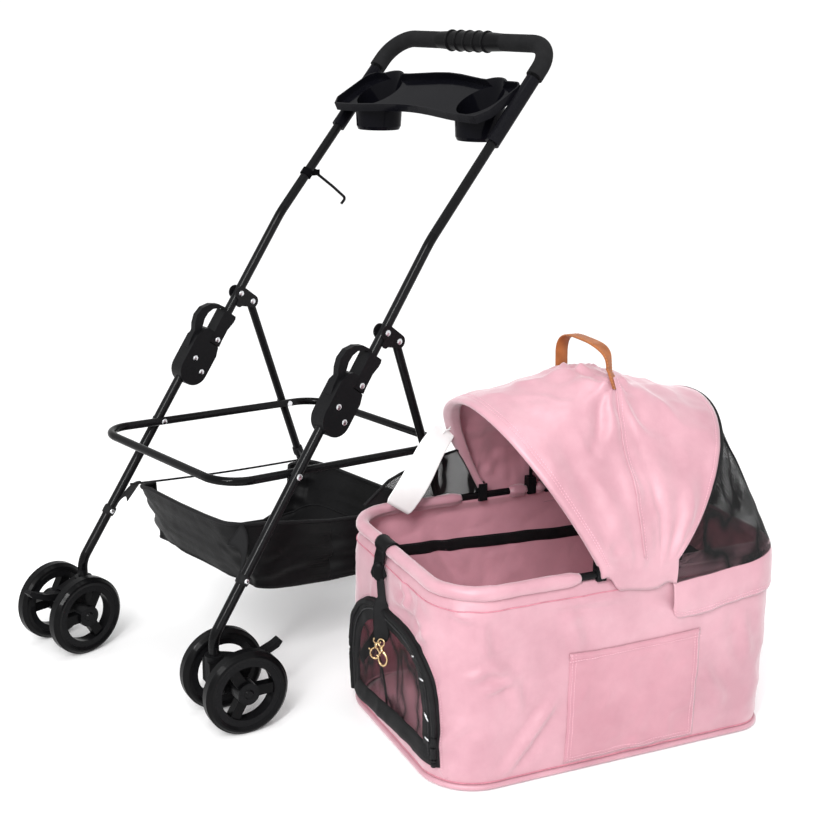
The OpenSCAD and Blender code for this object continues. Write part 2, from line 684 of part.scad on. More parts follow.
module castor() {
    difference() {
        union() {
            translate([0, 0, wheel_r + 5]) cylinder(h = collar_z - wheel_r - 5, d = pole_d + 12);
            translate([0, 14, 0]) rotate([90, 0, 0]) linear_extrude(28) polygon([
                [-13, wheel_r + 4], [trail - 12, wheel_r - 12], [trail + 10, wheel_r - 9],
                [lock_at[0] + 6, lock_at[1] - 7], [lock_at[0] + 6, lock_at[1] + 6],
                [trail, collar_z - 8], [8, collar_z - 2], [-13, collar_z - 8]]);
            translate([trail, 0, wheel_r]) rotate([90, 0, 0])
                cylinder(h = 2 * hub_gap, d = 24, center = true);
        }
        translate([0, 0, stem_low - 0.5]) cylinder(h = 90, d = pole_d + 2 * pin_play);
        translate([trail, 0, wheel_r]) rotate([90, 0, 0])
            cylinder(h = 99, d = axle_d + 2 * pin_play, center = true);
        translate([lock_at[0], 0, lock_at[1]]) rotate([90, 0, 0]) {
            cylinder(h = 17, d = 19, center = true);
            cylinder(h = 40, d = 5 + 2 * pin_play, center = true);
        }
    }
}

module castor_axle() {
    translate([trail, 0, wheel_r]) rotate([90, 0, 0]) axle();
}

module castor_lock() {
    translate([lock_at[0], 0, lock_at[1]]) rotate([90, 0, 0]) {
        cylinder(h = 27.5, d = 5, center = true);
        cylinder(h = 16, r = 7, center = true);
        translate([0, 0, -8]) linear_extrude(16) polygon([[-2, 7], [-1, -7], [30, 3], [54, 14],
            [60, 22], [56, 26], [46, 20], [26, 12]]);
    }
}

// Wheel about Z: spoked hub, and its tyre as a separate ring
module wheel() {
    w = wheel_w;
    difference() {
        union() {
            cylinder(h = w, r = 17, center = true);
            for (i = [0:2]) rotate([0, 0, 120 * i]) translate([10, -8, -w / 2 + 5]) cube([33, 16, w - 10]);
            difference() {
                cylinder(h = w - 5, r = rim_r, center = true);
                cylinder(h = w, r = wheel_r - 23, center = true);
            }
        }
        cylinder(h = w + 2, d = axle_d + 2 * pin_play, center = true);
    }
    rotate_extrude() polygon([[rim_r + 0.05, -w / 2 + 2], [rim_r + 5, -w / 2], [wheel_r - 5, -w / 2 + 1],
        [wheel_r - 1.5, -w / 2 + 5], [wheel_r, -w / 4], [wheel_r, w / 4], [wheel_r - 1.5, w / 2 - 5],
        [wheel_r - 5, w / 2 - 1], [rim_r + 5, w / 2], [rim_r + 0.05, w / 2 - 2]]);
}

// "out" is +1 for the outer wheel of a pair, -1 for the inner one
module front_wheel(s, out) {
    at_castor(s) translate([trail, -out * pair_gap / 2, wheel_r])
        rotate([90, 0, 0]) wheel();
}

module rear_wheel(s, out) {
    translate([s * (pole_half + out * pair_gap / 2), rear_y, wheel_r]) rotate([0, 90, 0]) wheel();
}

// ---------- storage basket ----------
module basket_outline(inset) {
    polygon([[-306 + inset, 300], [-306 + inset, 262], [-270 + inset, 174 + inset],
        [-95, 150 + inset], [35 - inset, 164 + inset], [60 - inset, 236], [60 - inset, 300]]);
}

module storage_basket() {
    difference() {
        side_plate(-basket_half, basket_half) basket_outline(0);
        side_plate(-basket_half + basket_t, basket_half - basket_t) basket_outline(basket_t);
        side_plate(-200, 200) polygon([[-320, 273], [-60, 248], [80, 242], [80, 400], [-320, 400]]);
    }
    // straps to the poles in front and to the legs behind
    for (s = [-1, 1]) side(s) {
        basket_strap(basket_half - 1, -304, 262, on_pole(ring_at - 128, 0), pole_d);
        basket_strap(basket_half - 1, 56, 236, leg_pivot + 310 * leg_dir, leg_d);
    }
}

module basket_strap(x, y, z, hold, d) {
    end = at_x(hold, pole_half - d / 2 - 1.5);
    wire([[x, y, z], (([x, y, z] + end) / 2) - [0, 0, 3], end], 5);
    translate(at_x(hold, pole_half)) aim(hold[0] < 0 ? at_x(up_low, 0) : at_x(leg_dir, 0))
        rotate_extrude() translate([d / 2 + 0.3, -6]) square([2, 12]);
}

// ---------- carrier ----------
module at_carrier() {
    translate([carrier_at[0], carrier_at[1], 0]) rotate([0, 0, carrier_turn]) children();
}

function plan(inset) = round_rect(carrier_w / 2 - inset, -carrier_l / 2 + inset,
    carrier_l / 2 - inset, front_r - inset, rear_r - inset);

// Upright band along the carrier's outline, between two insets
module band(i0, i1, z0, z1) {
    translate([0, 0, z0]) linear_extrude(z1 - z0) difference() {
        polygon(plan(i0));
        polygon(plan(i1));
    }
}

module door_arch(inset, low) {
    translate([0, -carrier_l / 2 + 60, 0]) rotate([90, 0, 0]) linear_extrude(100) polygon(concat(
        [for (i = [0:20]) let (a = i * 9) [(door_half - inset) * pow_arc(cos(a), 0.85),
            80 + (door_top - 80 - inset) * pow_arc(sin(a), 0.85)]],
        [[-door_half + inset, low], [door_half - inset, low]]));
}

module carrier_body() {
    linear_extrude(wall_t) polygon(plan(0));
    difference() {
        band(0, wall_t, 0, rim_z - sleeve_d / 2 - 0.3);
        door_arch(12, 22);
    }
}

module base_board() {
    translate([0, 0, wall_t + 0.2]) linear_extrude(3) polygon(plan(wall_t + 3));
}

module cushion() {
    translate([0, 0, wall_t + 3.5]) linear_extrude(cushion_t) polygon(plan(wall_t + 6));
}

module rim_path(inset, d, wall) {
    x = carrier_w / 2 - inset;
    y = carrier_l / 2 - inset;
    r0 = front_r - inset;
    r1 = rear_r - inset;
    tube_run([[0, -y, rim_z], [x, -y, rim_z], [x, y, rim_z], [-x, y, rim_z], [-x, -y, rim_z],
        [0, -y, rim_z]], [0, r0, r1, r1, r0, 0], d, wall);
}

module rim_tube() {
    rim_path(rim_inset, rim_d, 0);
}

// Fabric sleeve: in lengths, open at the hinges and over the bare rim
module rim_sleeve() {
    difference() {
        rim_path(rim_inset, sleeve_d, (sleeve_d - rim_d) / 2 - pin_play);
        translate([-300, flap_y - 10, 0]) cube([600, 400, 400]);
        for (y = hinge_y) translate([-300, y - hinge_half - 1, 0]) cube([600, 2 * hinge_half + 2, 400]);
        translate([100, -67, 0]) cube([200, 27, 400]);
        translate([-300, -72, 0]) cube([200, 68, 400]);
    }
}

module door() {
    intersection() {
        band(-2.2, -0.2, 8, 240);
        door_arch(0, 8);
    }
}

module side_pocket() {
    translate([carrier_w / 2 + 0.2, -84, 15]) cube([2, 216, 170]);
}

// Flap sewn over the rim round the hood end
module rear_flap() {
    difference() {
        union() {
            band(-2, -0.3, 222, 299);
            band(-2, rim_inset + 7, 297, 299);
        }
        translate([-300, -600, 0]) cube([600, 600 + flap_y, 400]);
    }
}

// Inner band, and the strap over the front rim with its tether
module webbing() {
    difference() {
        band(wall_t + 0.3, wall_t + 2.3, 188, 206);
        translate([-300, -300, 0]) cube([600, 60, 400]);
    }
    y = -carrier_l / 2 + rim_inset - sleeve_d / 2;
    translate([tether_x - 13, y - 2.3, 250]) cube([26, 2, 53]);
    translate([tether_x - 13, y - 2.3, 301.3]) cube([26, 26.6, 2]);
    translate([tether_x - 6, y - 2.3, 168]) cube([12, 2, 90]);
    translate([tether_x - 13, y + 22.3, 270]) cube([26, 2, 33]);
}

module snap_hooks() {
    for (q = [[-17, 168, -14], [17, 168, 14]])
        translate([tether_x + q[0] / 4, -carrier_l / 2 - 9, q[1]]) rotate([90, q[2], 0]) {
            translate([0, -6, 0]) rotate_extrude() translate([6, 0]) circle(r = 1.3, $fn = 16);
            translate([0, -15, 0]) rotate([90, 0, 0]) cylinder(h = 16, d = 6);
            translate([0, -40, 0]) rotate_extrude() translate([8, 0]) circle(r = 1.8, $fn = 16);
        }
}

// ---------- hood ----------
module bow_hinges() {
    for (s = [-1, 1], k = [0:2]) side(s) difference() {
        translate([bow_half - hinge_half, hinge_y[k] - hinge_half, rim_z - rim_d / 2 - 2.5])
            cube([2 * hinge_half, 2 * hinge_half + (k == 2 ? 2.4 : 0),
                rim_d / 2 + hinge_h + (k == 2 ? 2.5 : 8.5)]);
        translate([bow_half, hinge_y[k], rim_z]) {
            rotate([90, 0, 0]) cylinder(h = 40, d = rim_d + 2 * pin_play, center = true);
            if (k == 0) translate([-3.3, -20, rim_d / 2 + 2]) cube([6.6, 40, 40]);
            if (k == 0) translate([0, 0, hinge_h]) rotate([0, 90, 0])
                cylinder(h = 40, d = 4 + 2 * pin_play, center = true);
        }
        if (k == 1) translate([bow_half - 0.65, hinge_y[k] - 0.3, rim_z + 7.2]) cylinder(h = 40, d = bow_d + 2);
        if (k == 2) bow_socket(rear_at(0, 0), rear_at(4.5, 0));
    }
    for (s = [-1, 1]) translate([s * bow_half, hinge_y[0], rim_z + hinge_h]) rotate([0, 90, 0])
        cylinder(h = 2 * hinge_half + 1, d = 4, center = true);
}

// Bore for a bow's foot, along the bow's first length
module bow_socket(foot, next) {
    dir = unit(next - foot);
    translate(foot - 0.3 * dir) aim(dir) cylinder(h = 40, d = bow_d + 0.4);
}

// Points of a bow: half width, height along its plane, lean, foot, crowned or not
function bow_at(a, half, height, lean, y0, z0, peaked) =
    [half * (peaked ? sign(cos(a)) * lookup(sin(a), crown) : cos(a)),
        y0 + height * sin(a) * sin(lean), z0 + height * sin(a) * cos(lean)];

bow_half = carrier_w / 2 - rim_inset;
function front_at(a, g) = bow_at(a, bow_half + g, bow_front_h + g, bow_front_lean, hinge_y[0], rim_z + hinge_h, false);
function mid_at(a, g) = bow_at(a, bow_half + g, bow_mid_h + g, -3, hinge_y[1], rim_z + 8, true);
function rear_at(a, g) = bow_at(a, bow_half + g, bow_rear_h + g, bow_rear_lean, hinge_y[2], rim_z + 8, false);

module front_bow() {
    wire([for (i = [0:40]) front_at(1 + i * 4.45, 0)], bow_d);
    for (s = [-1, 1]) translate([s * bow_half, hinge_y[0], rim_z + hinge_h]) rotate([0, 90, 0])
        difference() {
            cylinder(h = 6, d = 11, center = true);
            cylinder(h = 9, d = 4 + 2 * pin_play, center = true);
        }
}

module hood_frame() {
    wire([for (i = [0:40]) mid_at(i * 4.5, 0)], bow_d);
    wire([for (i = [0:40]) rear_at(i * 4.5, 0)], bow_d);
}

// Fabric between two bows: foot rows hang outside the rim
function canopy_row(u, g, front) = let (
        a0 = canopy_half - bow_half + g,
        low = (front ? hinge_y[0] * (1 - u) + hinge_y[1] * u : hinge_y[1] * (1 - u) + hinge_y[2] * u))
    concat([[canopy_half + g, low, rim_z - canopy_low]],
        [for (i = [0:32]) let (a = i * 5.625, w = sin(a), k = [1 + (a0 - 4.9 - g) * (1 - w) / bow_half, 1, 1],
            p = front ? front_at(a, 4.9 + g) : mid_at(a, 4.9 + g),
            q = front ? mid_at(a, 4.9 + g) : rear_at(a, 4.9 + g),
            m = p * (1 - u) + q * u + [0, 0, 16 * sin(180 * u) * w])
            [m[0] * k[0], m[1], m[2]]],
        [[-canopy_half - g, low, rim_z - canopy_low]]);

module hood_front() {
    skin([for (i = [0:8]) canopy_row(i / 8, 0, true)],
        [for (i = [0:8]) canopy_row(i / 8, -hood_t, true)]);
}

module hood_rear() {
    skin([for (i = [0:6]) canopy_row(0.03 + 0.97 * i / 6, 0, false)],
        [for (i = [0:6]) canopy_row(0.03 + 0.97 * i / 6, -hood_t, false)]);
}

// Rear panel from the rear bow to the rim, and the front cover laid to the far side
module mesh_panels() {
    function rim_end(a, g) = [(bow_half - 4 + g) * pow_arc(cos(a), 0.4),
        hinge_y[2] + 12 + (carrier_l / 2 - hinge_y[2] - 22 + g) * pow_arc(sin(a), 0.4), rim_z + 12];
    skin([for (i = [0:6]) [for (j = [0:24]) let (a = 8 + j * 6.83)
            rear_at(a, 6.2) * (1 - i / 6) + rim_end(a, 0) * i / 6]],
        [for (i = [0:6]) [for (j = [0:24]) let (a = 8 + j * 6.83)
            rear_at(a, 5.3) * (1 - i / 6) + rim_end(a, -0.9) * i / 6]]);
    function cover_row(x, u) = [[x + 3 * u, -240 + 80 * u, rim_z + 12 + 46 * u],
        [x, -150 + 20 * u, rim_z + 12 + 70 * u], [x, -62, rim_z + 12 + 60 * u]];
    x = -bow_half + 1;
    skin([for (u = [0:0.25:1]) cover_row(x - 1, u)], [for (u = [0:0.25:1]) cover_row(x, u)]);
}

// Leather handle across the middle bow, a rivet at each foot
module carry_handle() {
    y = hinge_y[1] - bow_mid_h * sin(3);
    z = rim_z + 7.3 + bow_mid_h;
    translate([handle_x, y + strap_w / 2, z]) rotate([90, 0, 0]) linear_extrude(strap_w) polygon(concat(
        [[84, -16], [66, -8]], [for (i = [1:9]) let (a = i * 18) [66 * pow_arc(cos(a), 0.6), strap_h * pow_arc(sin(a), 0.6) - 4]],
        [[-66, -8], [-84, -16], [-84, -12.5], [-69, -4.5]],
        [for (i = [9:-1:1]) let (a = i * 18) [69 * pow_arc(cos(a), 0.6), (strap_h + 3) * pow_arc(sin(a), 0.6) - 4]],
        [[69, -4.5], [84, -12.5]]));
}

// Blank tag hanging from the front bow's far leg
module hang_tag() {
    side_plate(-150.5, -149.5) polygon([[-128, 424], [-98, 405], [-174, 286], [-210, 310]]);
    wire([[-150, -112, 412], [-143, -106, 420], front_at(141, 0) + [0, -4, 0]], 1.6);
}

color("#141416") side(1) lower_pole();  // lower_pole_left
color("#141416") side(-1) lower_pole();  // lower_pole_right
color("#1c1c1f") side(1) fold_housing();  // fold_housing_left
color("#1c1c1f") side(-1) fold_housing();  // fold_housing_right
color("#b9bcc0") housing_rivets();
color("#1c1c1f") side(1) latch();  // latch_left
color("#1c1c1f") side(-1) latch();  // latch_right
color("#111112") storage_basket();
color("#141416") handle_tube();
color("#1c1c1f") side(1) hinge_block();  // hinge_block_left
color("#1c1c1f") side(-1) hinge_block();  // hinge_block_right
color("#2a2a2d") foam_grips();
color("#1c1c1f") centre_grip();
color("#1c1c1f") parent_tray();
color("#b9bcc0") handle_fasteners();
color("#141416") side(1) leg_bracket();  // leg_bracket_left
color("#141416") side(-1) leg_bracket();  // leg_bracket_right
color("#141416") fold_hook();
color("#141416") carrier_ring();
color("#b9bcc0") ring_rivets();
color("#141416") side(1) rear_leg();  // rear_leg_left
color("#141416") side(-1) rear_leg();  // rear_leg_right
color("#141416") rear_cross_tube();
color("#1c1c1f") side(1) rear_housing();  // rear_housing_left
color("#1c1c1f") side(-1) rear_housing();  // rear_housing_right
color("#b9bcc0") rear_axles();
color("#1c1c1f") side(1) brake();  // brake_left
color("#1c1c1f") side(-1) brake();  // brake_right
color("#1c1c1f") at_castor(1) castor();  // castor_left
color("#1c1c1f") at_castor(-1) castor();  // castor_right
color("#b9bcc0") at_castor(1) castor_axle();  // castor_axle_left
color("#b9bcc0") at_castor(-1) castor_axle();  // castor_axle_right
color("#1c1c1f") at_castor(1) castor_lock();  // castor_lock_left
color("#1c1c1f") at_castor(-1) castor_lock();  // castor_lock_right
color("#101011") front_wheel(1, 1);  // front_wheel_left_outer
color("#101011") front_wheel(1, -1);  // front_wheel_left_inner
color("#101011") front_wheel(-1, 1);  // front_wheel_right_outer
color("#101011") front_wheel(-1, -1);  // front_wheel_right_inner
color("#101011") rear_wheel(1, 1);  // rear_wheel_left_outer
color("#101011") rear_wheel(1, -1);  // rear_wheel_left_inner
color("#101011") rear_wheel(-1, 1);  // rear_wheel_right_outer
color("#101011") rear_wheel(-1, -1);  // rear_wheel_right_inner
color("#e9a9b4") at_carrier() carrier_body();
color("#3a3a3c") at_carrier() base_board();
color("#efb6c0") at_carrier() cushion();
color("#141416") at_carrier() rim_tube();
color("#e9a9b4") at_carrier() rim_sleeve();
color("#111112") at_carrier() door();
color("#e9a9b4") at_carrier() side_pocket();
color("#e9a9b4") at_carrier() rear_flap();
color("#111112") at_carrier() webbing();
color("#b08d57") at_carrier() snap_hooks();
color("#1c1c1f") at_carrier() bow_hinges();
color("#141416") at_carrier() front_bow();
color("#141416") at_carrier() hood_frame();
color("#e9a9b4") at_carrier() hood_front();
color("#e9a9b4") at_carrier() hood_rear();
color("#222224") at_carrier() mesh_panels();
color("#b5632a") at_carrier() carry_handle();
color("#f2f2ee") at_carrier() hang_tag();
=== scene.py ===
"""Pet stroller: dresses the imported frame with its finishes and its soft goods.

Lengths in metres, in the row frame. Carrier pieces are drawn in the carrier's
own millimetres (x across, y to the hood end, z up) and placed by `carrier`.
"""
import json
from math import atan2, copysign, cos, exp, hypot, inf, pi, radians, sin, sqrt

import bmesh
import bpy
from mathutils import Matrix, Vector, noise


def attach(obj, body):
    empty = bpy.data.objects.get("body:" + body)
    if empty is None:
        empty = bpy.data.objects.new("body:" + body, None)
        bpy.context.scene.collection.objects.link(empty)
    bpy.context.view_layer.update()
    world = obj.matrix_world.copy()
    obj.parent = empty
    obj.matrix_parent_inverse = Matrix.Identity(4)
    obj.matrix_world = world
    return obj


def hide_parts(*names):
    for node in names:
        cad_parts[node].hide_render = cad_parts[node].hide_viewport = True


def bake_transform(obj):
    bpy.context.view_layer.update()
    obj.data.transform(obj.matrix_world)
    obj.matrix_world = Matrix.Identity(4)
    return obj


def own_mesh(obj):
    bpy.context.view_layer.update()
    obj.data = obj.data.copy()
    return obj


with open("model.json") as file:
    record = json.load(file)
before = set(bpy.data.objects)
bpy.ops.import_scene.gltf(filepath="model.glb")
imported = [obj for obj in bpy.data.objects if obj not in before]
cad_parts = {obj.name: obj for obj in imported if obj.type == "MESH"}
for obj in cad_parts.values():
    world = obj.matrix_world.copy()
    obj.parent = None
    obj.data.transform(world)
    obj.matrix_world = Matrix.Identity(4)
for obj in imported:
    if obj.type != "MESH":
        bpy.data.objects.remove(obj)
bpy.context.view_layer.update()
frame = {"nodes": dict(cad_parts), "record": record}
nodes = frame["nodes"]

# ---------------------------------------------------------------- view
EYE = Vector((1.8334, -1.4392, 1.0402))
EYE_AXES = (  # right, up and back
    (0.65783, 0.75306, 0.01250),
    (-0.21424, 0.17119, 0.96166),
    (0.72205, -0.63529, 0.27395),
)
LENS_MM, SENSOR_MM = 63.0, 36


def linked(name, data):
    """A new object in the scene."""
    obj = bpy.data.objects.new(name, data)
    bpy.context.collection.objects.link(obj)
    return obj


camera = linked("camera", bpy.data.cameras.new("camera"))
camera.data.lens, camera.data.sensor_width = LENS_MM, SENSOR_MM
camera.matrix_world = Matrix.Translation(EYE) @ Matrix(EYE_AXES).transposed().to_4x4()
bpy.context.scene.camera = camera

# ---------------------------------------------------------------- sizes, in mm
CARRIER_AT = (475.6, 48.9)
CARRIER_TURN = radians(-16.7)
CARRIER_W, CARRIER_L = 366, 535
FRONT_R, REAR_R = 75, 45
RIM_Z, RIM_INSET, SLEEVE_D = 290, 6, 22
WALL_TOP = 286
BOW_HALF = CARRIER_W / 2 - RIM_INSET
HINGE_Y = (-35, 53, 85)
BOWS = (  # front, middle, rear: height, lean back in degrees, y and z of its feet, whether it is peaked
    (222, -30, HINGE_Y[0], RIM_Z + 14, False),
    (236, -3, HINGE_Y[1], RIM_Z + 8, True),
    (228, 38, HINGE_Y[2], RIM_Z + 8, False),
)
CROWN = (  # of the peaked bow: share of its half width at a share of its height
    (0, 1), (0.275, 0.961), (0.43, 0.845), (0.596, 0.663), (0.775, 0.486), (0.93, 0.348), (1, 0),
)
SKIN = 4.9  # from a bow's middle line to the hood's cloth
CANOPY_HALF = BOW_HALF + SLEEVE_D / 2 + 2
CANOPY_LOW = 28


# ---------------------------------------------------------------- small tools
def carrier(x, y, z):
    """A point of the carrier, from its own millimetres."""
    c, s = cos(CARRIER_TURN), sin(CARRIER_TURN)
    return Vector((CARRIER_AT[0] + x * c - y * s, CARRIER_AT[1] + x * s + y * c, z)) / 1000


def on_carrier(points):
    return [carrier(*p) for p in points]


def chassis(x, y, z):
    """A point of the chassis, from millimetres."""
    return Vector((x, y, z)) / 1000


def span(a, b, steps):
    """Even steps from a to b, both included."""
    return [a + (b - a) * k / steps for k in range(steps + 1)]


def grid(down, across, point):
    """Rows of points: point(f, g), with f from 0 to 1 down the rows and g from 0 to 1 along each."""
    return [[point(f, g) for g in span(0, 1, across)] for f in span(0, 1, down)]


def ramp(v, a, b):
    """Soft step from 0 at a to 1 at b."""
    t = max(0.0, min(1.0, (v - a) / (b - a)))
    return t * t * (3 - 2 * t)


def between(v, table):
    """Straight-line lookup in a table of pairs."""
    for (a, p), (b, q) in zip(table, table[1:]):
        if v <= b:
            return p + (q - p) * max(0, v - a) / (b - a)
    return table[-1][1]


def power(u, k):
    """u to the power k, with u's sign."""
    return copysign(abs(u) ** k, u)


def swirl(x, y, z, size, seed=0.0):
    """Soft noise of about -1 to 1 whose lumps are `size` wide."""
    return noise.noise(Vector((x / size + seed, y / size - seed, z / size + 2 * seed)))


def mesh_object(name, points, faces, material, uvs):
    mesh = bpy.data.meshes.new(name)
    mesh.from_pydata([tuple(p) for p in points], [], faces)
    layer = mesh.uv_layers.new(name="weave")
    for loop in mesh.loops:
        layer.data[loop.index].uv = uvs[loop.vertex_index]
    mesh.shade_smooth()
    mesh.materials.append(material)
    return linked(name, mesh)


def cloth(name, rows, material, thick=0.0, closed=False, flip=False, inner=None):
    """A sheet through a grid of points, with its weave laid along the grid in metres.
    thick grows to the back of the sheet; inner is a second material for that side."""
    uvs, faces, across, down = [], [], [0.0], 0.0
    mid = rows[len(rows) // 2]
    for a, b in zip(mid, mid[1:]):
        across.append(across[-1] + (b - a).length)
    for i, row in enumerate(rows):
        if i:
            down += max((row[j] - rows[i - 1][j]).length for j in range(0, len(row), max(1, len(row) // 6)))
        uvs += [(across[j], down) for j in range(len(row))]
    n = len(rows[0])
    for i in range(len(rows) - 1):
        for j in range(n if closed else n - 1):
            k = (j + 1) % n
            quad = (i * n + j, i * n + k, (i + 1) * n + k, (i + 1) * n + j)
            faces.append(quad[::-1] if flip else quad)
    obj = mesh_object(name, sum(rows, []), faces, material, uvs)
    if inner:
        obj.data.materials.append(inner)
    if thick:
        wall = obj.modifiers.new("thickness", "SOLIDIFY")
        wall.thickness, wall.offset, wall.material_offset = thick / 1000, -1, 1 if inner else 0
    return obj


TUBE_WEAVE_R = 0.004  # the radius at which the weave is laid round a cord, in metres


def tube(name, path, radius, material, sides=10, closed=False, flat=1.0, side_of=None):
    """A round or flattened cord along points, with one radius in mm, a tuple with one for each point, or a
    function of point and side. side_of gives the flat side's direction."""
    rows = []
    n = len(path)
    radii = radius if isinstance(radius, tuple) else [radius] * n
    for i, p in enumerate(path):
        a = path[(i - 1) % n if closed else max(i - 1, 0)]
        b = path[(i + 1) % n if closed else min(i + 1, n - 1)]
        t = (b - a).normalized()
        u = side_of(i) if side_of else Vector((0, 0, 1))
        u = u - t * u.dot(t)
        if u.length < 1e-6:
            u = t.orthogonal()
        u.normalize()
        w = t.cross(u)
        row = []
        for k in range(sides):
            turn = 2 * pi * k / sides
            r = (radii[i](i, k) if callable(radii[i]) else radii[i]) / 1000
            row.append(p + u * (r * cos(turn)) + w * (r * flat * sin(turn)))
        rows.append(row)
    if closed:
        rows.append(rows[0])
    faces, uvs, down = [], [], 0.0
    for i, row in enumerate(rows):
        if i:
            down += (row[0] - rows[i - 1][0]).length
        uvs += [(k / sides * 2 * pi * TUBE_WEAVE_R, down) for k in range(sides)]
    for i in range(len(rows) - 1):
        for k in range(sides):
            m = (k + 1) % sides
            faces.append((i * sides + k, i * sides + m, (i + 1) * sides + m, (i + 1) * sides + k))
    if not closed:
        faces.append(tuple(range(sides))[::-1])
        faces.append(tuple((len(rows) - 1) * sides + k for k in range(sides)))
    return mesh_object(name, sum(rows, []), faces, material, uvs)


def applied(obj):
    """The piece with its modifiers made part of its mesh."""
    bpy.ops.object.select_all(action="DESELECT")
    bpy.context.view_layer.objects.active = obj
    obj.select_set(True)
    for m in list(obj.modifiers):
        bpy.ops.object.modifier_apply(modifier=m.name)
    return obj


def joined(name, parts):
    """Several pieces of one sewn part as one object."""
    for p in parts:
        applied(p)
    for p in parts:
        p.select_set(True)
    bpy.context.view_layer.objects.active = parts[0]
    bpy.ops.object.join()
    parts[0].name = name
    return parts[0]


def place(obj, slot, *stands_for, body="carrier"):
    """Puts a piece on its body and hides the CAD nodes that it stands for; its slot is not used."""
    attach(obj, body)
    if stands_for:
        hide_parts(*stands_for)
    return obj


# ---------------------------------------------------------------- materials
class Finish:
    """A node material built up from its principled shader."""

    def __init__(self, name, colour, roughness, **sockets):
        self.mat = bpy.data.materials.new(name)
        self.mat.use_nodes = True
        self.tree = self.mat.node_tree
        self.shader = self.tree.nodes["Principled BSDF"]
        self.shader.inputs["Base Color"].default_value = (*colour, 1)
        self.shader.inputs["Roughness"].default_value = roughness
        for key, value in sockets.items():
            self.shader.inputs[key.replace("_", " ")].default_value = value
        self.colour = colour
        self.height = None

    def node(self, kind, **values):
        made = self.tree.nodes.new(kind)
        for key, value in values.items():
            if key in made.inputs:
                made.inputs[key].default_value = value
            elif key.replace("_", " ") in made.inputs:
                made.inputs[key.replace("_", " ")].default_value = value
            else:
                setattr(made, key, value)
        return made

    def link(self, a, b):
        self.tree.links.new(a, b)

    def at(self, scale, uv=False):
        """Object or weave coordinates, stretched by scale."""
        source = self.node("ShaderNodeUVMap", uv_map="weave") if uv else self.node("ShaderNodeTexCoord")
        mapping = self.node("ShaderNodeMapping")
        mapping.inputs["Scale"].default_value = scale if isinstance(scale, tuple) else (scale,) * 3
        self.link(source.outputs["UV" if uv else "Object"], mapping.inputs["Vector"])
        return mapping.outputs["Vector"]

    def split(self, point):
        """The X, Y and Z of a point."""
        made = self.node("ShaderNodeSeparateXYZ")
        self.link(point, made.inputs["Vector"])
        return made.outputs

    def threads(self, pitch):
        """Where a point of the sheet lies, in threads that far apart, in metres."""
        return self.split(self.at(pi / pitch, uv=True))

    def noise(self, scale, detail=4, rough=0.55):
        made = self.node("ShaderNodeTexNoise", Detail=detail, Roughness=rough, Scale=1)
        self.link(self.at(scale), made.inputs["Vector"])
        return made.outputs["Fac"]

    def spread(self, value, low, high, a=0.3, b=0.7):
        """Maps a value from a..b to low..high."""
        made = self.node("ShaderNodeMapRange", From_Min=a, From_Max=b, To_Min=low, To_Max=high)
        self.link(value, made.inputs["Value"])
        return made.outputs["Result"]

    def math(self, how, a, b=0.0):
        made = self.node("ShaderNodeMath", operation=how)
        for i, v in enumerate((a, b)):
            if isinstance(v, (int, float)):
                made.inputs[i].default_value = v
            else:
                self.link(v, made.inputs[i])
        return made.outputs[0]

    def tint(self, value, dark, light):
        """Colour that runs from dark to light with value."""
        made = self.node("ShaderNodeMix", data_type="RGBA")
        self.link(value, made.inputs["Factor"])
        sockets = [s for s in made.inputs if s.type == "RGBA"]
        sockets[0].default_value = (*dark, 1)
        sockets[1].default_value = (*light, 1)
        self.link(next(s for s in made.outputs if s.type == "RGBA"), self.shader.inputs["Base Color"])

    def vary_roughness(self, value, low, high):
        self.link(self.spread(value, low, high), self.shader.inputs["Roughness"])

    def bump(self, value, distance, strength):
        """Adds a relief of that depth in metres over those already there."""
        made = self.node("ShaderNodeBump", Strength=strength, Distance=distance)
        self.link(value, made.inputs["Height"])
        if self.height:
            self.link(self.height, made.inputs["Normal"])
        self.height = made.outputs["Normal"]
        self.link(self.height, self.shader.inputs["Normal"])

    def creases(self, scale, sharp):
        """Thin winding ridges, as left in pressed cloth."""
        off = self.math("ABSOLUTE", self.math("SUBTRACT", self.noise(scale, 2, 0.4), 0.5))
        return self.math("POWER", self.math("SUBTRACT", 1.0, self.math("MULTIPLY", off, 3.0)), sharp)

    def ripple(self, value):
        """0 at each thread's edge and 1 at its middle."""
        return self.math("ABSOLUTE", self.math("SINE", value))

    def weave(self, pitch):
        """Height of a plain weave."""
        at = self.threads(pitch)
        return self.math("MULTIPLY", self.ripple(at["X"]), self.ripple(at["Y"]))

    def wear(self, light, amount):
        """Paler paint along edges."""
        geo = self.node("ShaderNodeNewGeometry")
        edge = self.spread(geo.outputs["Pointiness"], 0, amount, 0.52, 0.6)
        worn = self.math("MULTIPLY", edge, self.noise(300, 3))
        self.tint(worn, self.colour, light)


CLOTH_PITCH, NET_PITCH, RIB_PITCH = 0.0011, 0.0026, 0.0009  # metres from thread to thread
STEEL = (0.72, 0.73, 0.75)


def shades(colour, k):
    return tuple(min(1, c * k) for c in colour)


def black_enamel():
    f = Finish("frame_enamel", (0.0022, 0.0022, 0.0025), 0.22,
               Specular_IOR_Level=0.03, Coat_Weight=0.16, Coat_Roughness=0.05)
    speckle = f.noise(900, 3)
    f.vary_roughness(f.noise(30, 4), 0.18, 0.34)
    f.bump(speckle, 0.00006, 0.5)
    f.wear((0.03, 0.03, 0.032), 0.35)
    return f.mat


BLACK_PLASTIC = (0.0045, 0.0045, 0.005)


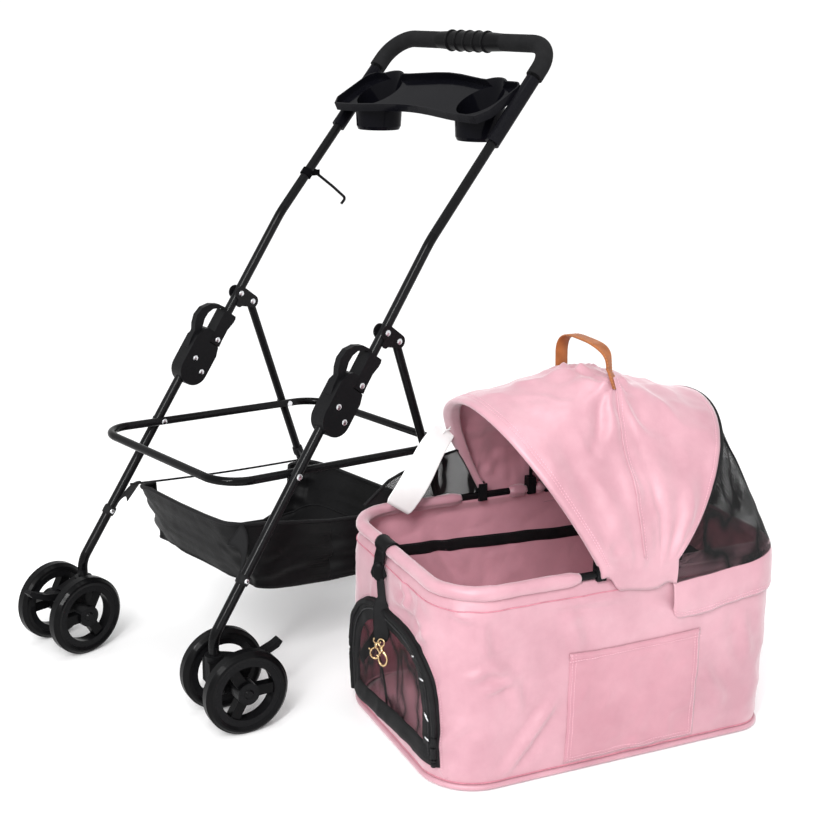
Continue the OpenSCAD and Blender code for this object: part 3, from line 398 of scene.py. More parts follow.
def moulded_plastic(name, colour=BLACK_PLASTIC, rough=(0.34, 0.5), grain=0.0001, gloss=0.07, coat=0.0):
    """Grained plastic; rough is its least and its most roughness."""
    f = Finish(name, colour, rough[0], Specular_IOR_Level=gloss, Coat_Weight=coat, Coat_Roughness=0.07)
    f.bump(f.noise(1400, 2), grain, 0.6)
    f.vary_roughness(f.noise(24, 5), *rough)
    f.wear((0.02, 0.02, 0.022), 0.4)
    return f.mat


def polished_metal(name, colour):
    f = Finish(name, colour, 0.2, Metallic=1.0)
    f.vary_roughness(f.noise(200, 4), 0.14, 0.34)
    f.bump(f.noise(2500, 2), 0.00002, 0.4)
    return f.mat


def painted_pins(name, above):
    """Bright steel pins whose clip, above a height in metres, is painted black."""
    f = Finish(name, STEEL, 0.25, Metallic=1.0)
    bare = f.math("LESS_THAN", f.split(f.at(1))["Z"], above)
    f.tint(bare, (0.004, 0.004, 0.0045), STEEL)
    f.link(bare, f.shader.inputs["Metallic"])
    f.link(f.math("MULTIPLY", bare, 0.4), f.shader.inputs["Specular IOR Level"])
    f.bump(f.noise(2500, 2), 0.00002, 0.4)
    return f.mat


def foam_rubber():
    f = Finish("foam_rubber", (0.010, 0.010, 0.011), 0.75, Specular_IOR_Level=0.05)
    f.bump(f.noise(2200, 3), 0.00025, 0.7)
    f.tint(f.noise(60, 4), (0.008, 0.008, 0.0085), (0.016, 0.016, 0.017))
    return f.mat


def sewn_cloth(name, colour, shade=0.88, puckers=0.0022, sheen=0.5, gloss=1.0, painted_sheen=0.0):
    """Woven cloth with fine creases and slow random changes of tone, whose pale blotches are painted sheen.
    """
    f = Finish(name, colour, 0.5, Sheen_Weight=sheen, Sheen_Roughness=0.45, Specular_IOR_Level=gloss)
    f.bump(f.noise(9, 5, 0.5), puckers * 2, 0.6)
    f.bump(f.creases((11, 11, 8), 4), puckers, 0.12)
    f.bump(f.noise((38, 38, 22), 4, 0.5), 0.0006, 0.5)
    f.bump(f.weave(CLOTH_PITCH), 0.00012, 0.45)
    # Painted sheen: the pale end of the tone is lifted towards white.
    pale = tuple(c * 1.02 + painted_sheen for c in colour)
    f.tint(f.spread(f.noise(7, 5, 0.6), 0, 1, 0.34, 0.66), shades(colour, shade), pale)
    return f.mat


def open_mesh(name, bar):
    """Net: threads with see-through holes, laid along the sheet. The higher bar is, the smaller the holes."""
    f = Finish(name, (0.007, 0.007, 0.0075), 0.6, Specular_IOR_Level=0.2)
    at = f.threads(NET_PITCH)
    u, v = (f.ripple(f.math(how, at["X"], at["Y"])) for how in ("ADD", "SUBTRACT"))
    folds = f.math("MULTIPLY", f.creases((16, 16, 9), 9), 0.55)
    hole = f.math("GREATER_THAN", f.math("MULTIPLY", u, v), f.math("ADD", folds, bar))
    clear = f.node("ShaderNodeBsdfTransparent")
    mix = f.node("ShaderNodeMixShader")
    f.link(hole, mix.inputs["Fac"])
    f.link(f.shader.outputs["BSDF"], mix.inputs[1])
    f.link(clear.outputs["BSDF"], mix.inputs[2])
    out = next(n for n in f.tree.nodes if n.type == "OUTPUT_MATERIAL")
    f.link(mix.outputs["Shader"], out.inputs["Surface"])
    return f.mat


def ribbed_tape(name, colour=(0.0055, 0.0055, 0.006), gloss=0.15):
    """Woven webbing and binding: cross ribs."""
    f = Finish(name, colour, 0.6, Specular_IOR_Level=gloss)
    f.bump(f.ripple(f.threads(RIB_PITCH)["Y"]), 0.0002, 0.6)
    f.tint(f.noise(80, 4), shades(colour, 0.8), shades(colour, 1.9))
    return f.mat


def tan_leather():
    f = Finish("tan_leather", (0.32, 0.1, 0.025), 0.45, Specular_IOR_Level=0.4)
    grain = f.node("ShaderNodeTexVoronoi", feature="DISTANCE_TO_EDGE", Scale=1)
    f.link(f.at(1100), grain.inputs["Vector"])
    f.bump(f.spread(grain.outputs["Distance"], 0, 1, 0, 0.35), 0.00012, 0.5)
    f.tint(f.spread(f.noise(45, 5), 0, 1), (0.24, 0.07, 0.016), (0.38, 0.125, 0.034))
    f.vary_roughness(f.noise(120, 4), 0.38, 0.6)
    return f.mat


def bare_card():
    f = Finish("bare_card", (0.94, 0.94, 0.935), 0.3, Specular_IOR_Level=0.8)
    f.tint(f.spread(f.noise(40, 4), 0, 1), (0.92, 0.92, 0.915), (0.96, 0.96, 0.955))
    f.bump(f.noise(300, 3), 0.00008, 0.4)
    return f.mat


PINK = (0.475, 0.218, 0.27)
enamel = black_enamel()
plastic = moulded_plastic("black_plastic")
wheel_plastic = moulded_plastic("wheel_plastic", (0.0025, 0.0025, 0.0028), (0.26, 0.42), 0.00012, 0.04, 0.09)
glossy_plastic = moulded_plastic("tray_plastic", (0.003, 0.003, 0.0045), (0.10, 0.2), 0.00004, 0.01, 0.1)
steel = polished_metal("rivet_steel", STEEL)
brass = polished_metal("brass", (0.62, 0.44, 0.24))
foam = foam_rubber()
# pink_cloth and pocket_cloth carry painted sheen in their pale blotches.
pink_cloth = sewn_cloth("pink_cloth", PINK, painted_sheen=0.065)
pocket_cloth = sewn_cloth("pocket_cloth", (0.468, 0.19, 0.243), painted_sheen=0.05)
# Painted light: the lining is a lighter copy of the outer pink, which makes up for the dimmer light inside
# the carrier and hood.
pink_lining_painted_light = sewn_cloth("pink_lining_painted_light", (0.66, 0.32, 0.385), shade=0.84, puckers=0.003, gloss=0.4)
pink_tape = ribbed_tape("pink_binding", (0.62, 0.285, 0.345), 0.8)
# Painted shade: a darker pink cord that stands for the shade in a seam's groove.
pink_seam_shade = ribbed_tape("pink_seam_shadow", (0.40, 0.16, 0.20))
black_cloth = sewn_cloth("black_cloth", (0.006, 0.006, 0.0065), 0.7, 0.003, sheen=0.02, gloss=0.1)
black_tape = ribbed_tape("black_webbing")
net = open_mesh("black_net", bar=0.30)
far_net = open_mesh("close_net", bar=0.8)
door_mesh = open_mesh("door_net_cloth", bar=0.06)
zip_teeth = moulded_plastic("zip_teeth", (0.05, 0.05, 0.052), (0.25, 0.4), 0.00004)
leather = tan_leather()
pink_thread = ribbed_tape("pink_thread", (0.66, 0.33, 0.39), 0.6)
dark_thread = ribbed_tape("dark_thread", (0.015, 0.015, 0.016))
tan_thread = ribbed_tape("tan_thread", (0.42, 0.17, 0.06))
white_thread = ribbed_tape("white_thread", (0.8, 0.8, 0.78))
card = bare_card()

FINISH_OF_SLOT = {
    "frame_black": enamel, "plastic_black": plastic, "rivet_steel": steel, "foam_black": foam,
    "wheel_black": wheel_plastic, "cloth_black": black_cloth, "cloth_pink": pink_cloth,
    "mesh_black": net, "leather_tan": leather, "brass": brass, "board_grey": plastic, "tag_white": card,
}
FINISH_OF_NODE = {
    "parent_tray": glossy_plastic, "handle_fasteners": painted_pins("pins_and_clip", 0.70),
    "rear_axles": enamel, "castor_axle_left": enamel, "castor_axle_right": enamel,
}
for part in frame["record"]["subparts"]:
    skin = nodes[part["node"]].data.materials
    skin.clear()
    skin.append(FINISH_OF_NODE.get(part["node"], FINISH_OF_SLOT[part["material_slot"]]))


# ---------------------------------------------------------------- carrier outline
def wrapped(s):
    return (s + ROUND / 2) % ROUND - ROUND / 2


def outline(s, out=0.0):
    """A point of the carrier's plan: s mm round from the middle of the front, +x side first."""
    hx, hy = CARRIER_W / 2, CARRIER_L / 2
    legs = (  # length, start, and the direction of a straight leg or the radius and first angle of a corner
        (hx - FRONT_R, (0, -hy), (1, 0), None),
        (pi / 2 * FRONT_R, (hx - FRONT_R, -hy + FRONT_R), None, (FRONT_R, -90)),
        (CARRIER_L - FRONT_R - REAR_R, (hx, -hy + FRONT_R), (0, 1), None),
        (pi / 2 * REAR_R, (hx - REAR_R, hy - REAR_R), None, (REAR_R, 0)),
        (inf, (hx - REAR_R, hy), (-1, 0), None),
    )
    side, s = copysign(1, wrapped(s)), abs(wrapped(s))
    for length, (x, y), run, bend in legs:
        if s <= length:
            break
        s -= length
    if bend:
        a = radians(bend[1] + 90 * s / length)
        r = bend[0] + out
        return side * (x + r * cos(a)), y + r * sin(a)
    return side * (x + run[0] * s + run[1] * out), y + run[1] * s - run[0] * out


ROUND = 2 * (CARRIER_W - FRONT_R - REAR_R + CARRIER_L - FRONT_R - REAR_R) + pi * (FRONT_R + REAR_R)


def s_of_side(y):
    """How far round a point of the +x side at that y is."""
    return CARRIER_W / 2 - FRONT_R + pi / 2 * FRONT_R + (y + CARRIER_L / 2 - FRONT_R)


def far_s(y):
    """How far round a point of the -x side at that y is."""
    return -s_of_side(y)


CREASE_GAIN = 2.6
WALL_CREASES = (  # from and to as (s, z), height, half width, in mm
    (238, 18, 316, 120, 2.6, 9), (200, 250, 208, 198, 2.2, 8), (208, 198, 250, 160, 2.4, 8),
    (250, 160, 205, 150, 2.0, 7), (250, 160, 262, 112, 1.8, 8), (180, 166, 214, 184, 1.8, 7),
    (12, 232, 90, 240, 2.6, 7), (90, 240, 126, 222, 2.2, 8), (126, 222, 96, 204, 1.8, 7),
    (150, 60, 186, 112, 1.8, 9), (330, 250, 352, 190, 1.6, 10), (470, 236, 520, 200, 1.6, 10),
    (560, 120, 600, 60, 2.0, 10), (620, 200, 640, 120, 1.8, 10), (-560, 120, -600, 60, 2.0, 10),
    (-300, 220, -352, 150, 2.0, 10), (-200, 210, -250, 160, 2.4, 9), (-420, 90, -480, 40, 1.8, 9),
    (700, 90, 760, 160, 2.0, 11), (-700, 90, -760, 160, 2.0, 11), (440, 30, 490, 8, 1.6, 9),
    (300, 262, 420, 252, 1.4, 7), (160, 264, 196, 252, 1.8, 6), (40, 264, 70, 236, 1.8, 7),
)


def crease_lift(s, z):
    """The ridges of WALL_CREASES at a point of the wall, each with its dips on either side."""
    lift = 0.0
    for a, b, c, d, high, wide in WALL_CREASES:
        dx, dz = c - a, d - b
        t = max(-0.15, min(1.15, ((s - a) * dx + (z - b) * dz) / (dx * dx + dz * dz)))
        off = hypot(s - a - dx * t, z - b - dz * t) / wide
        if off < 3:
            ends = ramp(t, -0.15, 0.3) * (1 - ramp(t, 0.7, 1.15))
            lift += CREASE_GAIN * high * ends * (exp(-off ** 2) - 0.45 * exp(-(off - 1.6) ** 2))
    return lift


def wall_shape(s, z):
    """How far the soft wall stands out of its outline, in mm."""
    s = wrapped(s)
    belly = 4.0 * sin(pi * min(1, z / WALL_TOP)) ** 0.8 - 2.0 * (1 - ramp(z, 0, 24))
    waves = 2.6 * swirl(s, z * 0.5, 0, 95, 1.3) + 1.5 * swirl(s, z * 0.8, 0, 38, 4.7) + crease_lift(s, z)
    waves += 1.6 * (1 - abs(swirl(s, z * 1.3, 0, 44, 9.2))) ** 5
    pull = 1.6 * swirl(s * 0.6, z * 2.2, 0, 70, 8.1) * ramp(z, 150, 270)
    return belly + (waves + pull) * ramp(z, 0, 30) * (1 - ramp(z, 262, 280)) - 6.5 * ramp(z, 268, 286)


DOOR_MID, DOOR_REACH, DOOR_CROWN, DOOR_SILL = 6, 141, 205, 20
DOOR_LEG, DOOR_SPRING = 0.16, 78  # share of the door's line on each straight leg, and how high the legs reach
SILL_TILT = 11  # how much higher the sill is at its near end


def door_line(t, inset):
    """The door's outline from its near foot over the top to its far foot: (s, z)."""
    half, top = DOOR_REACH - inset, DOOR_CROWN - inset
    low = DOOR_SILL + (SILL_TILT if t < 0.5 else 0) + 0.5 * inset
    if t < DOOR_LEG or t > 1 - DOOR_LEG:
        return DOOR_MID + copysign(half, 0.5 - t), low + (DOOR_SPRING - low) * min(t, 1 - t) / DOOR_LEG
    a = (t - DOOR_LEG) / (1 - 2 * DOOR_LEG) * pi
    full = 0.58 + 0.2 * ramp(t, 0.4, 0.7)
    return DOOR_MID + half * power(cos(a), full), DOOR_SPRING + (top - DOOR_SPRING) * sin(a) ** full


# ---------------------------------------------------------------- carrier wall and base
def wall_point(s, z, out=0.0):
    """A point of the wall: s round, z up, and out from its skin, in mm."""
    x, y = outline(s, wall_shape(s, z) + out)
    return carrier(x, y, z)


def wall_line(points, out):
    return [wall_point(s, z, out) for s, z in points]


def carrier_wall():
    edge, hem = 162, 5  # the ends of the front's cloth, and how far it runs inside the door's line
    levels = span(0, WALL_TOP, 60)
    rows = [[wall_point(s, z) for s in span(edge, ROUND - edge, 220)] for z in levels]
    main = cloth("wall_round", rows, pink_cloth)
    rim = [(edge, z) for z in levels] + [(s, WALL_TOP) for s in span(edge, -edge, 76)[1:-1]]
    rim += [(-edge, z) for z in reversed(levels)]
    rows = []
    for f in span(0, 1, 12):
        rows.append([])
        for (s, z), t in zip(rim, span(0, 1, len(rim) - 1)):
            p, q = door_line(t, hem)
            rows[-1].append(wall_point(p + (s - p) * f, q + (z - q) * f))
    front = cloth("wall_front", rows, pink_cloth, flip=True)
    near, far = door_line(0, hem)[1], door_line(1, hem)[1]
    rows = grid(4, 76, lambda f, g: wall_point(edge - 2 * edge * g, f * (near + (far - near) * g)))
    sill = cloth("wall_sill", rows, pink_cloth, flip=True)
    plan = [Vector(outline(s)) for s in span(0, ROUND, 120)]
    rows = [[carrier(*(p * f), 3.0) for p in plan] for f in (0.99, 0.66, 0.33, 0.01)]
    floor = cloth("wall_floor", rows, pink_cloth)
    wall = joined("carrier_wall", [main, front, sill, floor])
    sheet = bmesh.new()
    sheet.from_mesh(wall.data)
    bmesh.ops.remove_doubles(sheet, verts=sheet.verts, dist=0.0004)
    bmesh.ops.recalc_face_normals(sheet, faces=sheet.faces)
    sheet.to_mesh(wall.data)
    sheet.free()
    wall.data.materials.append(pink_lining_painted_light)
    skin = wall.modifiers.new("thickness", "SOLIDIFY")
    skin.thickness, skin.offset, skin.material_offset = 0.0022, -1, 1
    return place(wall, "cloth_pink", "carrier_body")


def edge_cord(name, points, radius, material, slot="cloth_pink", closed=False):
    return place(tube(name, points, radius, material, 8, closed), slot)


carrier_wall()
base_line = span(0, ROUND, 220)[:-1]
edge_cord("base_piping", [wall_point(s, 5.4, 1.6) for s in base_line], 4.2, pink_cloth, closed=True)
low_seam = [wall_point(s, 11.5 + 0.8 * swirl(s, 0, 0, 60), 0.4) for s in base_line]
# The base and wall seams are thin cords of painted seam shade.
edge_cord("base_seam", low_seam, 0.9, pink_seam_shade, closed=True)
edge_cord("wall_seam", [wall_point(s, 266, 0.3) for s in base_line], 0.9, pink_seam_shade, closed=True)


# ---------------------------------------------------------------- rim sleeve
ROLL_SIDES = 28


def roll_of(name, s0, s1, steps, full=9.9):
    """Gathered fabric sleeve round the rim, with the seam's crease below its outside."""
    line = span(s0, s1, steps)

    def radius(i, k):
        turn = 2 * pi * k / ROLL_SIDES
        crease = 2.6 * exp(-(atan2(sin(turn + 2.15), cos(turn + 2.15)) / 0.22) ** 2)
        tuck = 1 - 0.32 * exp(-(min(i, steps - i) / 2.5) ** 2)
        lumps = 0.9 * swirl(line[i], 30 * turn, 0, 46, 2) + 0.5 * swirl(line[i], 40 * turn, 0, 17, 5)
        return (full + lumps - crease) * tuck

    path = [carrier(*outline(s, -RIM_INSET), RIM_Z - 1) for s in line]
    return tube(name, path, radius, pink_cloth, ROLL_SIDES)


sleeves = [
    roll_of("sleeve_front", far_s(-72), s_of_side(-67), 190),
    roll_of("sleeve_near_mid", s_of_side(-27), s_of_side(45), 30),
    roll_of("sleeve_near_rear", s_of_side(61), s_of_side(77), 10),
    roll_of("sleeve_far_mid", far_s(45), far_s(14), 18),
    roll_of("sleeve_far_rear", far_s(77), far_s(61), 10),
    roll_of("sleeve_rear", s_of_side(78), ROUND - s_of_side(78), 190, 9.0),
]
place(joined("rim_sleeve_cloth", sleeves), "cloth_pink", "rim_sleeve")


# ---------------------------------------------------------------- hood
def sin_d(a):
    return sin(radians(a))


def bow(which, a, g=0.0):
    """A point g outside a bow's middle line: a from 0 at its near foot to 180 at its far foot."""
    high, lean, y, z, peaked = BOWS[which]
    c, s = cos(radians(a)), sin_d(a)
    if peaked:
        c = copysign(between(s, CROWN), c) if abs(c) > 1e-9 else 0
    rise = (high + g) * s
    return Vector(((BOW_HALF + g) * c, y + rise * sin_d(lean), z + rise * cos(radians(lean))))


FRONT_END = carrier(*(bow(0, 45) * 0.5 + bow(0, 135) * 0.5))
FRONT_START = carrier(*(bow(1, 45) * 0.5 + bow(1, 135) * 0.5))


HANDLE_FOOT = 62  # the angle at which the leather handle's near foot draws the hood up


def canopy_smooth(a, v, out=0.0):
    """Point of the canopy: a from 0 at the near foot to 180 at the far foot, with a bow at v 0, 1 and 2."""
    i = 0 if v < 1 else 1
    u = v - i
    s = max(0.0, sin_d(a))
    m = bow(i, a, SKIN + out) * (1 - u) + bow(i + 1, a, SKIN + out) * u
    m.z += (2, -3)[i] * sin(pi * u) ** 0.8 * s * s
    m.z += 17 * exp(-((a - HANDLE_FOOT) / 12) ** 2 - ((v - 1) / 0.2) ** 2)
    if out > -SKIN:
        m.x *= 1 + (CANOPY_HALF - BOW_HALF - SKIN) * (1 - s) / BOW_HALF
        if v < 0.4 and a > 100:  # the front hem's far corner is pulled in
            share = ramp(a, 100, 140) * (1 - ramp(a, 150, 174)) * (1 - ramp(v, 0.05, 0.4))
            m += Vector((-6, -9, 3)) * share
    return m


GATHERS = [(canopy_smooth(a, v), a, *more) for a, v, *more in (  # a and v of their start, reach, depth, count
    (68, 1.0, 150, 5.4, 9), (112, 1.0, 140, 4.6, 9), (3, 0.05, 60, 2.2, 7), (177, 0.05, 60, 2.2, 7),
)]


def seam_v(a):
    """Where the seam over the middle bow runs: it leans forward towards the feet."""
    return 1 - 0.27 * (1 - ramp(min(a, 180 - a), 0, 64))


def canopy(a, v, out):
    """Point of the hood's cloth, with its folds."""
    at = canopy_smooth(a, v, out)
    n = canopy_smooth(a, v, out + 4) - at
    n = n.normalized() if n.length > 1e-6 else Vector((0, 0, 1))
    push = 3.0 * swirl(at.x, at.y * 0.4, at.z, 60, 3) + 1.5 * swirl(at.x, at.y * 0.5, at.z, 24, 6)
    push += 2.4 * (1 - abs(swirl(at.x, at.y, at.z * 0.6, 52, 12))) ** 5
    for start, turn, reach, depth, count in GATHERS:
        d = at - start
        r = d.length
        if r < 2.6 * reach:
            fan = sin(count * atan2(d.z, d.y) + 2.2 * swirl(d.x, d.y, d.z, 40, turn))
            push += depth * fan * exp(-r / reach) * ramp(r, 3, 26)
    near = min(a, 180 - a)
    pleats = sin(2 * pi * (2.6 * v + 0.3 * swirl(near * 1.2, v * 30, 0, 40, 9)))
    push += 3.0 * pleats * exp(-near / 42) * ramp(near, 0, 9)
    push += 3.4 * exp(-((v - seam_v(a) + 0.05) / 0.1) ** 2) * (1 - ramp(near, 66, 80))
    u = v if v < 1 else v - 1
    free = ramp(u, 0, 0.12) * (1 - ramp(u, 0.88, 1)) * 0.85 + 0.15
    return at + n * push * free


ARC_STEPS, FOOT_STEPS = 120, 6


def canopy_row(v, out=0.0):
    """One row of points across the hood from the near foot to the far foot."""
    row = []
    tip = RIM_Z - CANOPY_LOW + 26 * (1 - ramp(v, 0, 0.34)) + 3 * sin(v * 5)
    for k in range(-FOOT_STEPS, ARC_STEPS + FOOT_STEPS + 1):
        if 0 <= k <= ARC_STEPS:
            row.append(canopy(180 * k / ARC_STEPS, v, out))
            continue
        t = (-k if k < 0 else k - ARC_STEPS) / FOOT_STEPS
        top = canopy(0 if k < 0 else 180, v, out)
        z = top.z + (tip - top.z) * t
        half = CANOPY_HALF + out + 1.6 * sin(pi * t) + 1.2 * swirl(top.y, z, 0, 30, 5) - 1.5 * t * t
        row.append(Vector((copysign(half, top.x), top.y + 4 * t * (1 - ramp(v, 0, 0.3)), z)))
    return row


def follow_bow(obj, slot, start=FRONT_START, end=FRONT_END):
    """Makes a piece's modifiers and its place part of its mesh; slot, start and end are not used."""
    applied(obj)
    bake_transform(obj)
    return obj


def hood():
    rows = [on_carrier(canopy_row(v, out)) for out, v in ((-10.4, 0.05), (-10.2, 0.03))]
    over, under = canopy_row(0), canopy_row(0, -2 * SKIN)
    for f in span(0, pi, 7)[1:-1]:  # the hem's turn round the front bow
        turn = Vector((0, -5.6, -2.2)) * sin(f)
        rows.append(on_carrier((a + b) / 2 + (b - a) / 2 * cos(f) + turn for a, b in zip(over, under)))
    rows += [on_carrier(canopy_row(v)) for v in span(0, 1, 56) + span(1, 2, 40)[1:]]
    obj = cloth("hood_canopy", rows, pink_cloth, thick=0.9, flip=True, inner=pink_lining_painted_light)
    follow_bow(obj, "cloth_pink")
    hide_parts("hood_front", "hood_rear")


hood()


# ---------------------------------------------------------------- mesh at the hood's rear
def flap_top(y):
    """Height of the rear flap's upper edge, which dips along the sides."""
    return between(y, ((40, 255), (75, 259), (150, 266), (215, 273), (250, 282), (275, 284)))


OVER_RIM = 0.86  # share of the rear net that is above the rim


def rear_mesh(t, f, out=0.0):
    """A point of the rear net: t from 0 at the near foot to 1 at the far foot, f from 0 at the bow to 1."""
    s0 = s_of_side(HINGE_Y[2] - 2)
    s = s0 + (ROUND - 2 * s0) * t
    x, y = outline(s, 4.2)
    end = Vector((x, y, flap_top(y) - 5))
    over = Vector((*outline(s, 5.4), max(end.z + 4, RIM_Z - 2)))
    top = bow(2, 180 * t, 6.0 + out)
    p = top.lerp(over, f / OVER_RIM) if f < OVER_RIM else over.lerp(end, (f - OVER_RIM) / (1 - OVER_RIM))
    n = Vector((p.x / 2, p.y - HINGE_Y[2] + 30, p.z - RIM_Z)).normalized()
    sag = (3.2 * swirl(400 * t, f * 60, 0, 30, 2) + 1.8 * swirl(540 * t, f * 90, 0, 14, 7)) * sin(pi * f)
    lift = 5 * sin(pi * min(1.0, f / OVER_RIM)) * ramp(min(t, 1 - t), 0, 0.2)
    return carrier(*(p + n * (sag + lift + out * ramp(f, 0, 0.5))))


rear_net = cloth("rear_net", grid(34, 150, lambda f, t: rear_mesh(t, f)), net, thick=0.5, flip=True)
place(rear_net, "mesh_black", "mesh_panels")
edge_cord("rear_net_top", [rear_mesh(t, 0.02, 0.6) for t in span(0, 1, 150)], 2.6, black_tape, "cloth_black")
for j, t in enumerate((0.3, 0.7)):
    seam = [rear_mesh(t, f, 0.4) for f in span(0.02, OVER_RIM, 30)]
    edge_cord("rear_net_seam_%d" % j, seam, 1.6, black_tape, "cloth_black")


# ---------------------------------------------------------------- sewing details
def laid_along_tree():
    """Lays small shaped pieces end to end along a line, with their pitch, size and finish as inputs."""
    tree = bpy.data.node_groups.new("laid_along", "GeometryNodeTree")
    for name, kind in (("Line", "Geometry"), ("Pitch", "Float"), ("Size", "Vector"), ("Finish", "Material")):
        tree.interface.new_socket(name, in_out="INPUT", socket_type="NodeSocket" + kind)
    tree.interface.new_socket("Pieces", in_out="OUTPUT", socket_type="NodeSocketGeometry")
    made = {}
    for key, kind in (
        ("given", "NodeGroupInput"), ("result", "NodeGroupOutput"), ("curve", "GeometryNodeMeshToCurve"),
        ("even", "GeometryNodeResampleCurve"), ("seed", "GeometryNodeMeshUVSphere"),
        ("shape", "GeometryNodeTransform"), ("tangent", "GeometryNodeInputTangent"),
        ("turn", "FunctionNodeAlignRotationToVector"), ("lay", "GeometryNodeInstanceOnPoints"),
        ("real", "GeometryNodeRealizeInstances"), ("paint", "GeometryNodeSetMaterial"),
        ("soft", "GeometryNodeSetShadeSmooth"),
    ):
        made[key] = tree.nodes.new(kind)
    made["even"].mode = "LENGTH"
    made["turn"].axis = "X"
    made["seed"].inputs["Segments"].default_value = 8
    made["seed"].inputs["Rings"].default_value = 5
    for a, out, b, into in (
        ("given", "Line", "curve", "Mesh"), ("curve", "Curve", "even", "Curve"),
        ("given", "Pitch", "even", "Length"), ("even", "Curve", "lay", "Points"),
        ("seed", "Mesh", "shape", "Geometry"), ("given", "Size", "shape", "Scale"),
        ("shape", "Geometry", "lay", "Instance"), ("tangent", "Tangent", "turn", "Vector"),
        ("turn", "Rotation", "lay", "Rotation"), ("lay", "Instances", "real", "Geometry"),
        ("real", "Geometry", "paint", "Geometry"), ("given", "Finish", "paint", "Material"),
        ("paint", "Geometry", "soft", "Geometry"), ("soft", "Geometry", "result", "Pieces"),
    ):
        tree.links.new(made[a].outputs[out], made[b].inputs[into])
    return tree


LAID_ALONG = laid_along_tree()


STITCH = (3.0, 0.8, 0.8)


def laid(name, path, pitch=4.2, size=STITCH, material=pink_thread, slot="cloth_pink", blended=False):
    """Stitches, teeth or studs along a path: pitch and size in mm."""
    mesh = bpy.data.meshes.new(name)
    mesh.from_pydata([tuple(p) for p in path], [(i, i + 1) for i in range(len(path) - 1)], [])
    obj = linked(name, mesh)
    grow = obj.modifiers.new("laid_along", "NODES")
    grow.node_group = LAID_ALONG
    wanted = {"Pitch": pitch / 1000, "Size": [c / 2000 for c in size], "Finish": material}
    for socket in LAID_ALONG.interface.items_tree:
        if socket.name in wanted:
            grow[socket.identifier] = wanted[socket.name]
    bpy.context.view_layer.update()
    made = bpy.data.meshes.new_from_object(obj.evaluated_get(bpy.context.evaluated_depsgraph_get()))
    obj.modifiers.clear()
    obj.data = made
    return follow_bow(obj, slot) if blended else place(obj, slot)


# ---------------------------------------------------------------- door
def door():
    line = span(0, 1, 120)
    rows = [wall_line([door_line(t, inset) for t in line], out) for inset, out in (
        (-3, 0.4), (-1, 3.4), (4, 5.2), (10, 5.0), (12, 3.4), (15, 3.0), (18, 3.2), (26, 2.6), (29, 0.4))]
    tape = cloth("door_tape", rows, black_tape)

    def sill_point(f):
        return DOOR_MID + (DOOR_REACH + 1) * (1 - 2 * f), DOOR_SILL + SILL_TILT * (1 - f) + 2 * sin(5 * f)

    foot = [sill_point(f) for f in span(0, 1, 50)]
    across = ((-3, 0.4), (-1, 3.6), (6, 5.2), (13, 4.2), (16, 3.4), (26, 3.0), (29, 0.4))
    rows = [wall_line([(s, z + h) for s, z in foot], out) for h, out in across]
    sill = cloth("door_sill", rows, black_tape, flip=True)
    roll = tube("door_roll", wall_line([door_line(t, 3) for t in line], 5.4),
                lambda i, k: 4.6 + 0.6 * swirl(i * 4, k * 3, 0, 22, 3), black_tape)
    place(joined("door_binding", [tape, sill, roll]), "cloth_black", "door")

    def net_point(f, g):
        s, z = door_line(0.5 * g, 26)
        s = (s - DOOR_MID) * (1 - 2 * f)
        return wall_point(DOOR_MID + s, z, 2.6 * swirl(s, z, 0, 40, 6) - 4.0 * sin(pi * f))

    door_net = place(cloth("door_net", grid(32, 40, net_point), door_mesh, thick=0.4), "mesh_black")
    teeth = wall_line([door_line(t, 13.5) for t in line[3:-3]], 4.2)
    laid("door_zip", teeth, 2.4, (1.5, 3.4, 1.6), zip_teeth, "plastic_black")
    for j, t in enumerate((0.36, 0.27, 0.17, 0.12)):
        drop = [door_line(t + a, inset) for a, inset in ((0, 11), (0.004, 13), (0.01, 16), (0.014, 18))]
        pull = tube("door_zip_pull_%d" % j, wall_line(drop, 6.2), (0.9, 1.7, 1.5, 0.8), steel, flat=0.5)
        place(pull, "rivet_steel")
    laid("door_stitches", wall_line([door_line(t, -6) for t in line], 1.0))
    for j, (a, b, c, d, half) in enumerate(((-58, 158, -132, 70, 9), (-70, 112, -30, 26, 3))):
        run = Vector((c - a, d - b)).normalized()  # a tie from (x, z) = (a, b) to (c, d)
        rows = [[carrier(a + (c - a) * f - run.y * e, -CARRIER_L / 2 + 9 + 3 * sin(pi * f),
                         b + (d - b) * f + run.x * e) for e in (-half, 0, half)] for f in span(0, 1, 12)]
        place(cloth("door_tie_%d" % j, rows, black_tape, thick=0.9), "cloth_black")


door()


# ---------------------------------------------------------------- near pocket and rear flap
def pocket():
    y0, y1, low, high = -84, 132, 15, 185

    def point(f, g):
        inside = (sin(pi * f) * sin(pi * g)) ** 0.35
        s = s_of_side(y0 + (y1 - y0) * g)
        z = low + (high - low) * f - (2.5 * sin(pi * g) if f > 0.9 else 0)
        return wall_point(s, z, 0.6 + (2.6 + 1.6 * swirl(s, z, 0, 40, 9)) * inside + (1.4 if f > 0.94 else 0))

    obj = cloth("near_pocket", grid(30, 48, point), pocket_cloth, thick=0.7)
    place(obj, "cloth_pink", "side_pocket")
    edge = [(y0 + 4, high - 3), (y0 + 4, low + 4), (y1 - 4, low + 4), (y1 - 4, high - 3)]
    line = []
    for (a, b), (c, d) in zip(edge, edge[1:]):
        line += zip(span(a, c, 40)[:-1], span(b, d, 40)[:-1])
    for inset, tag in ((0, "outer"), (5, "inner")):
        path = [(s_of_side(y + (inset if y < 20 else -inset)), z + (inset if z < 60 else 0)) for y, z in line]
        laid("pocket_stitches_" + tag, wall_line(path, 2.2))
    laid("pocket_hem_stitches", wall_line([(s_of_side(y), high - 11) for y in span(y0, y1, 50)], 3.6))


pocket()


FLAP_LOW, FLAP_ROUND = 208, 16  # the rear flap's lower edge and its corners' radius
FLAP_WALL = 0.8  # the share of it that lies on the wall


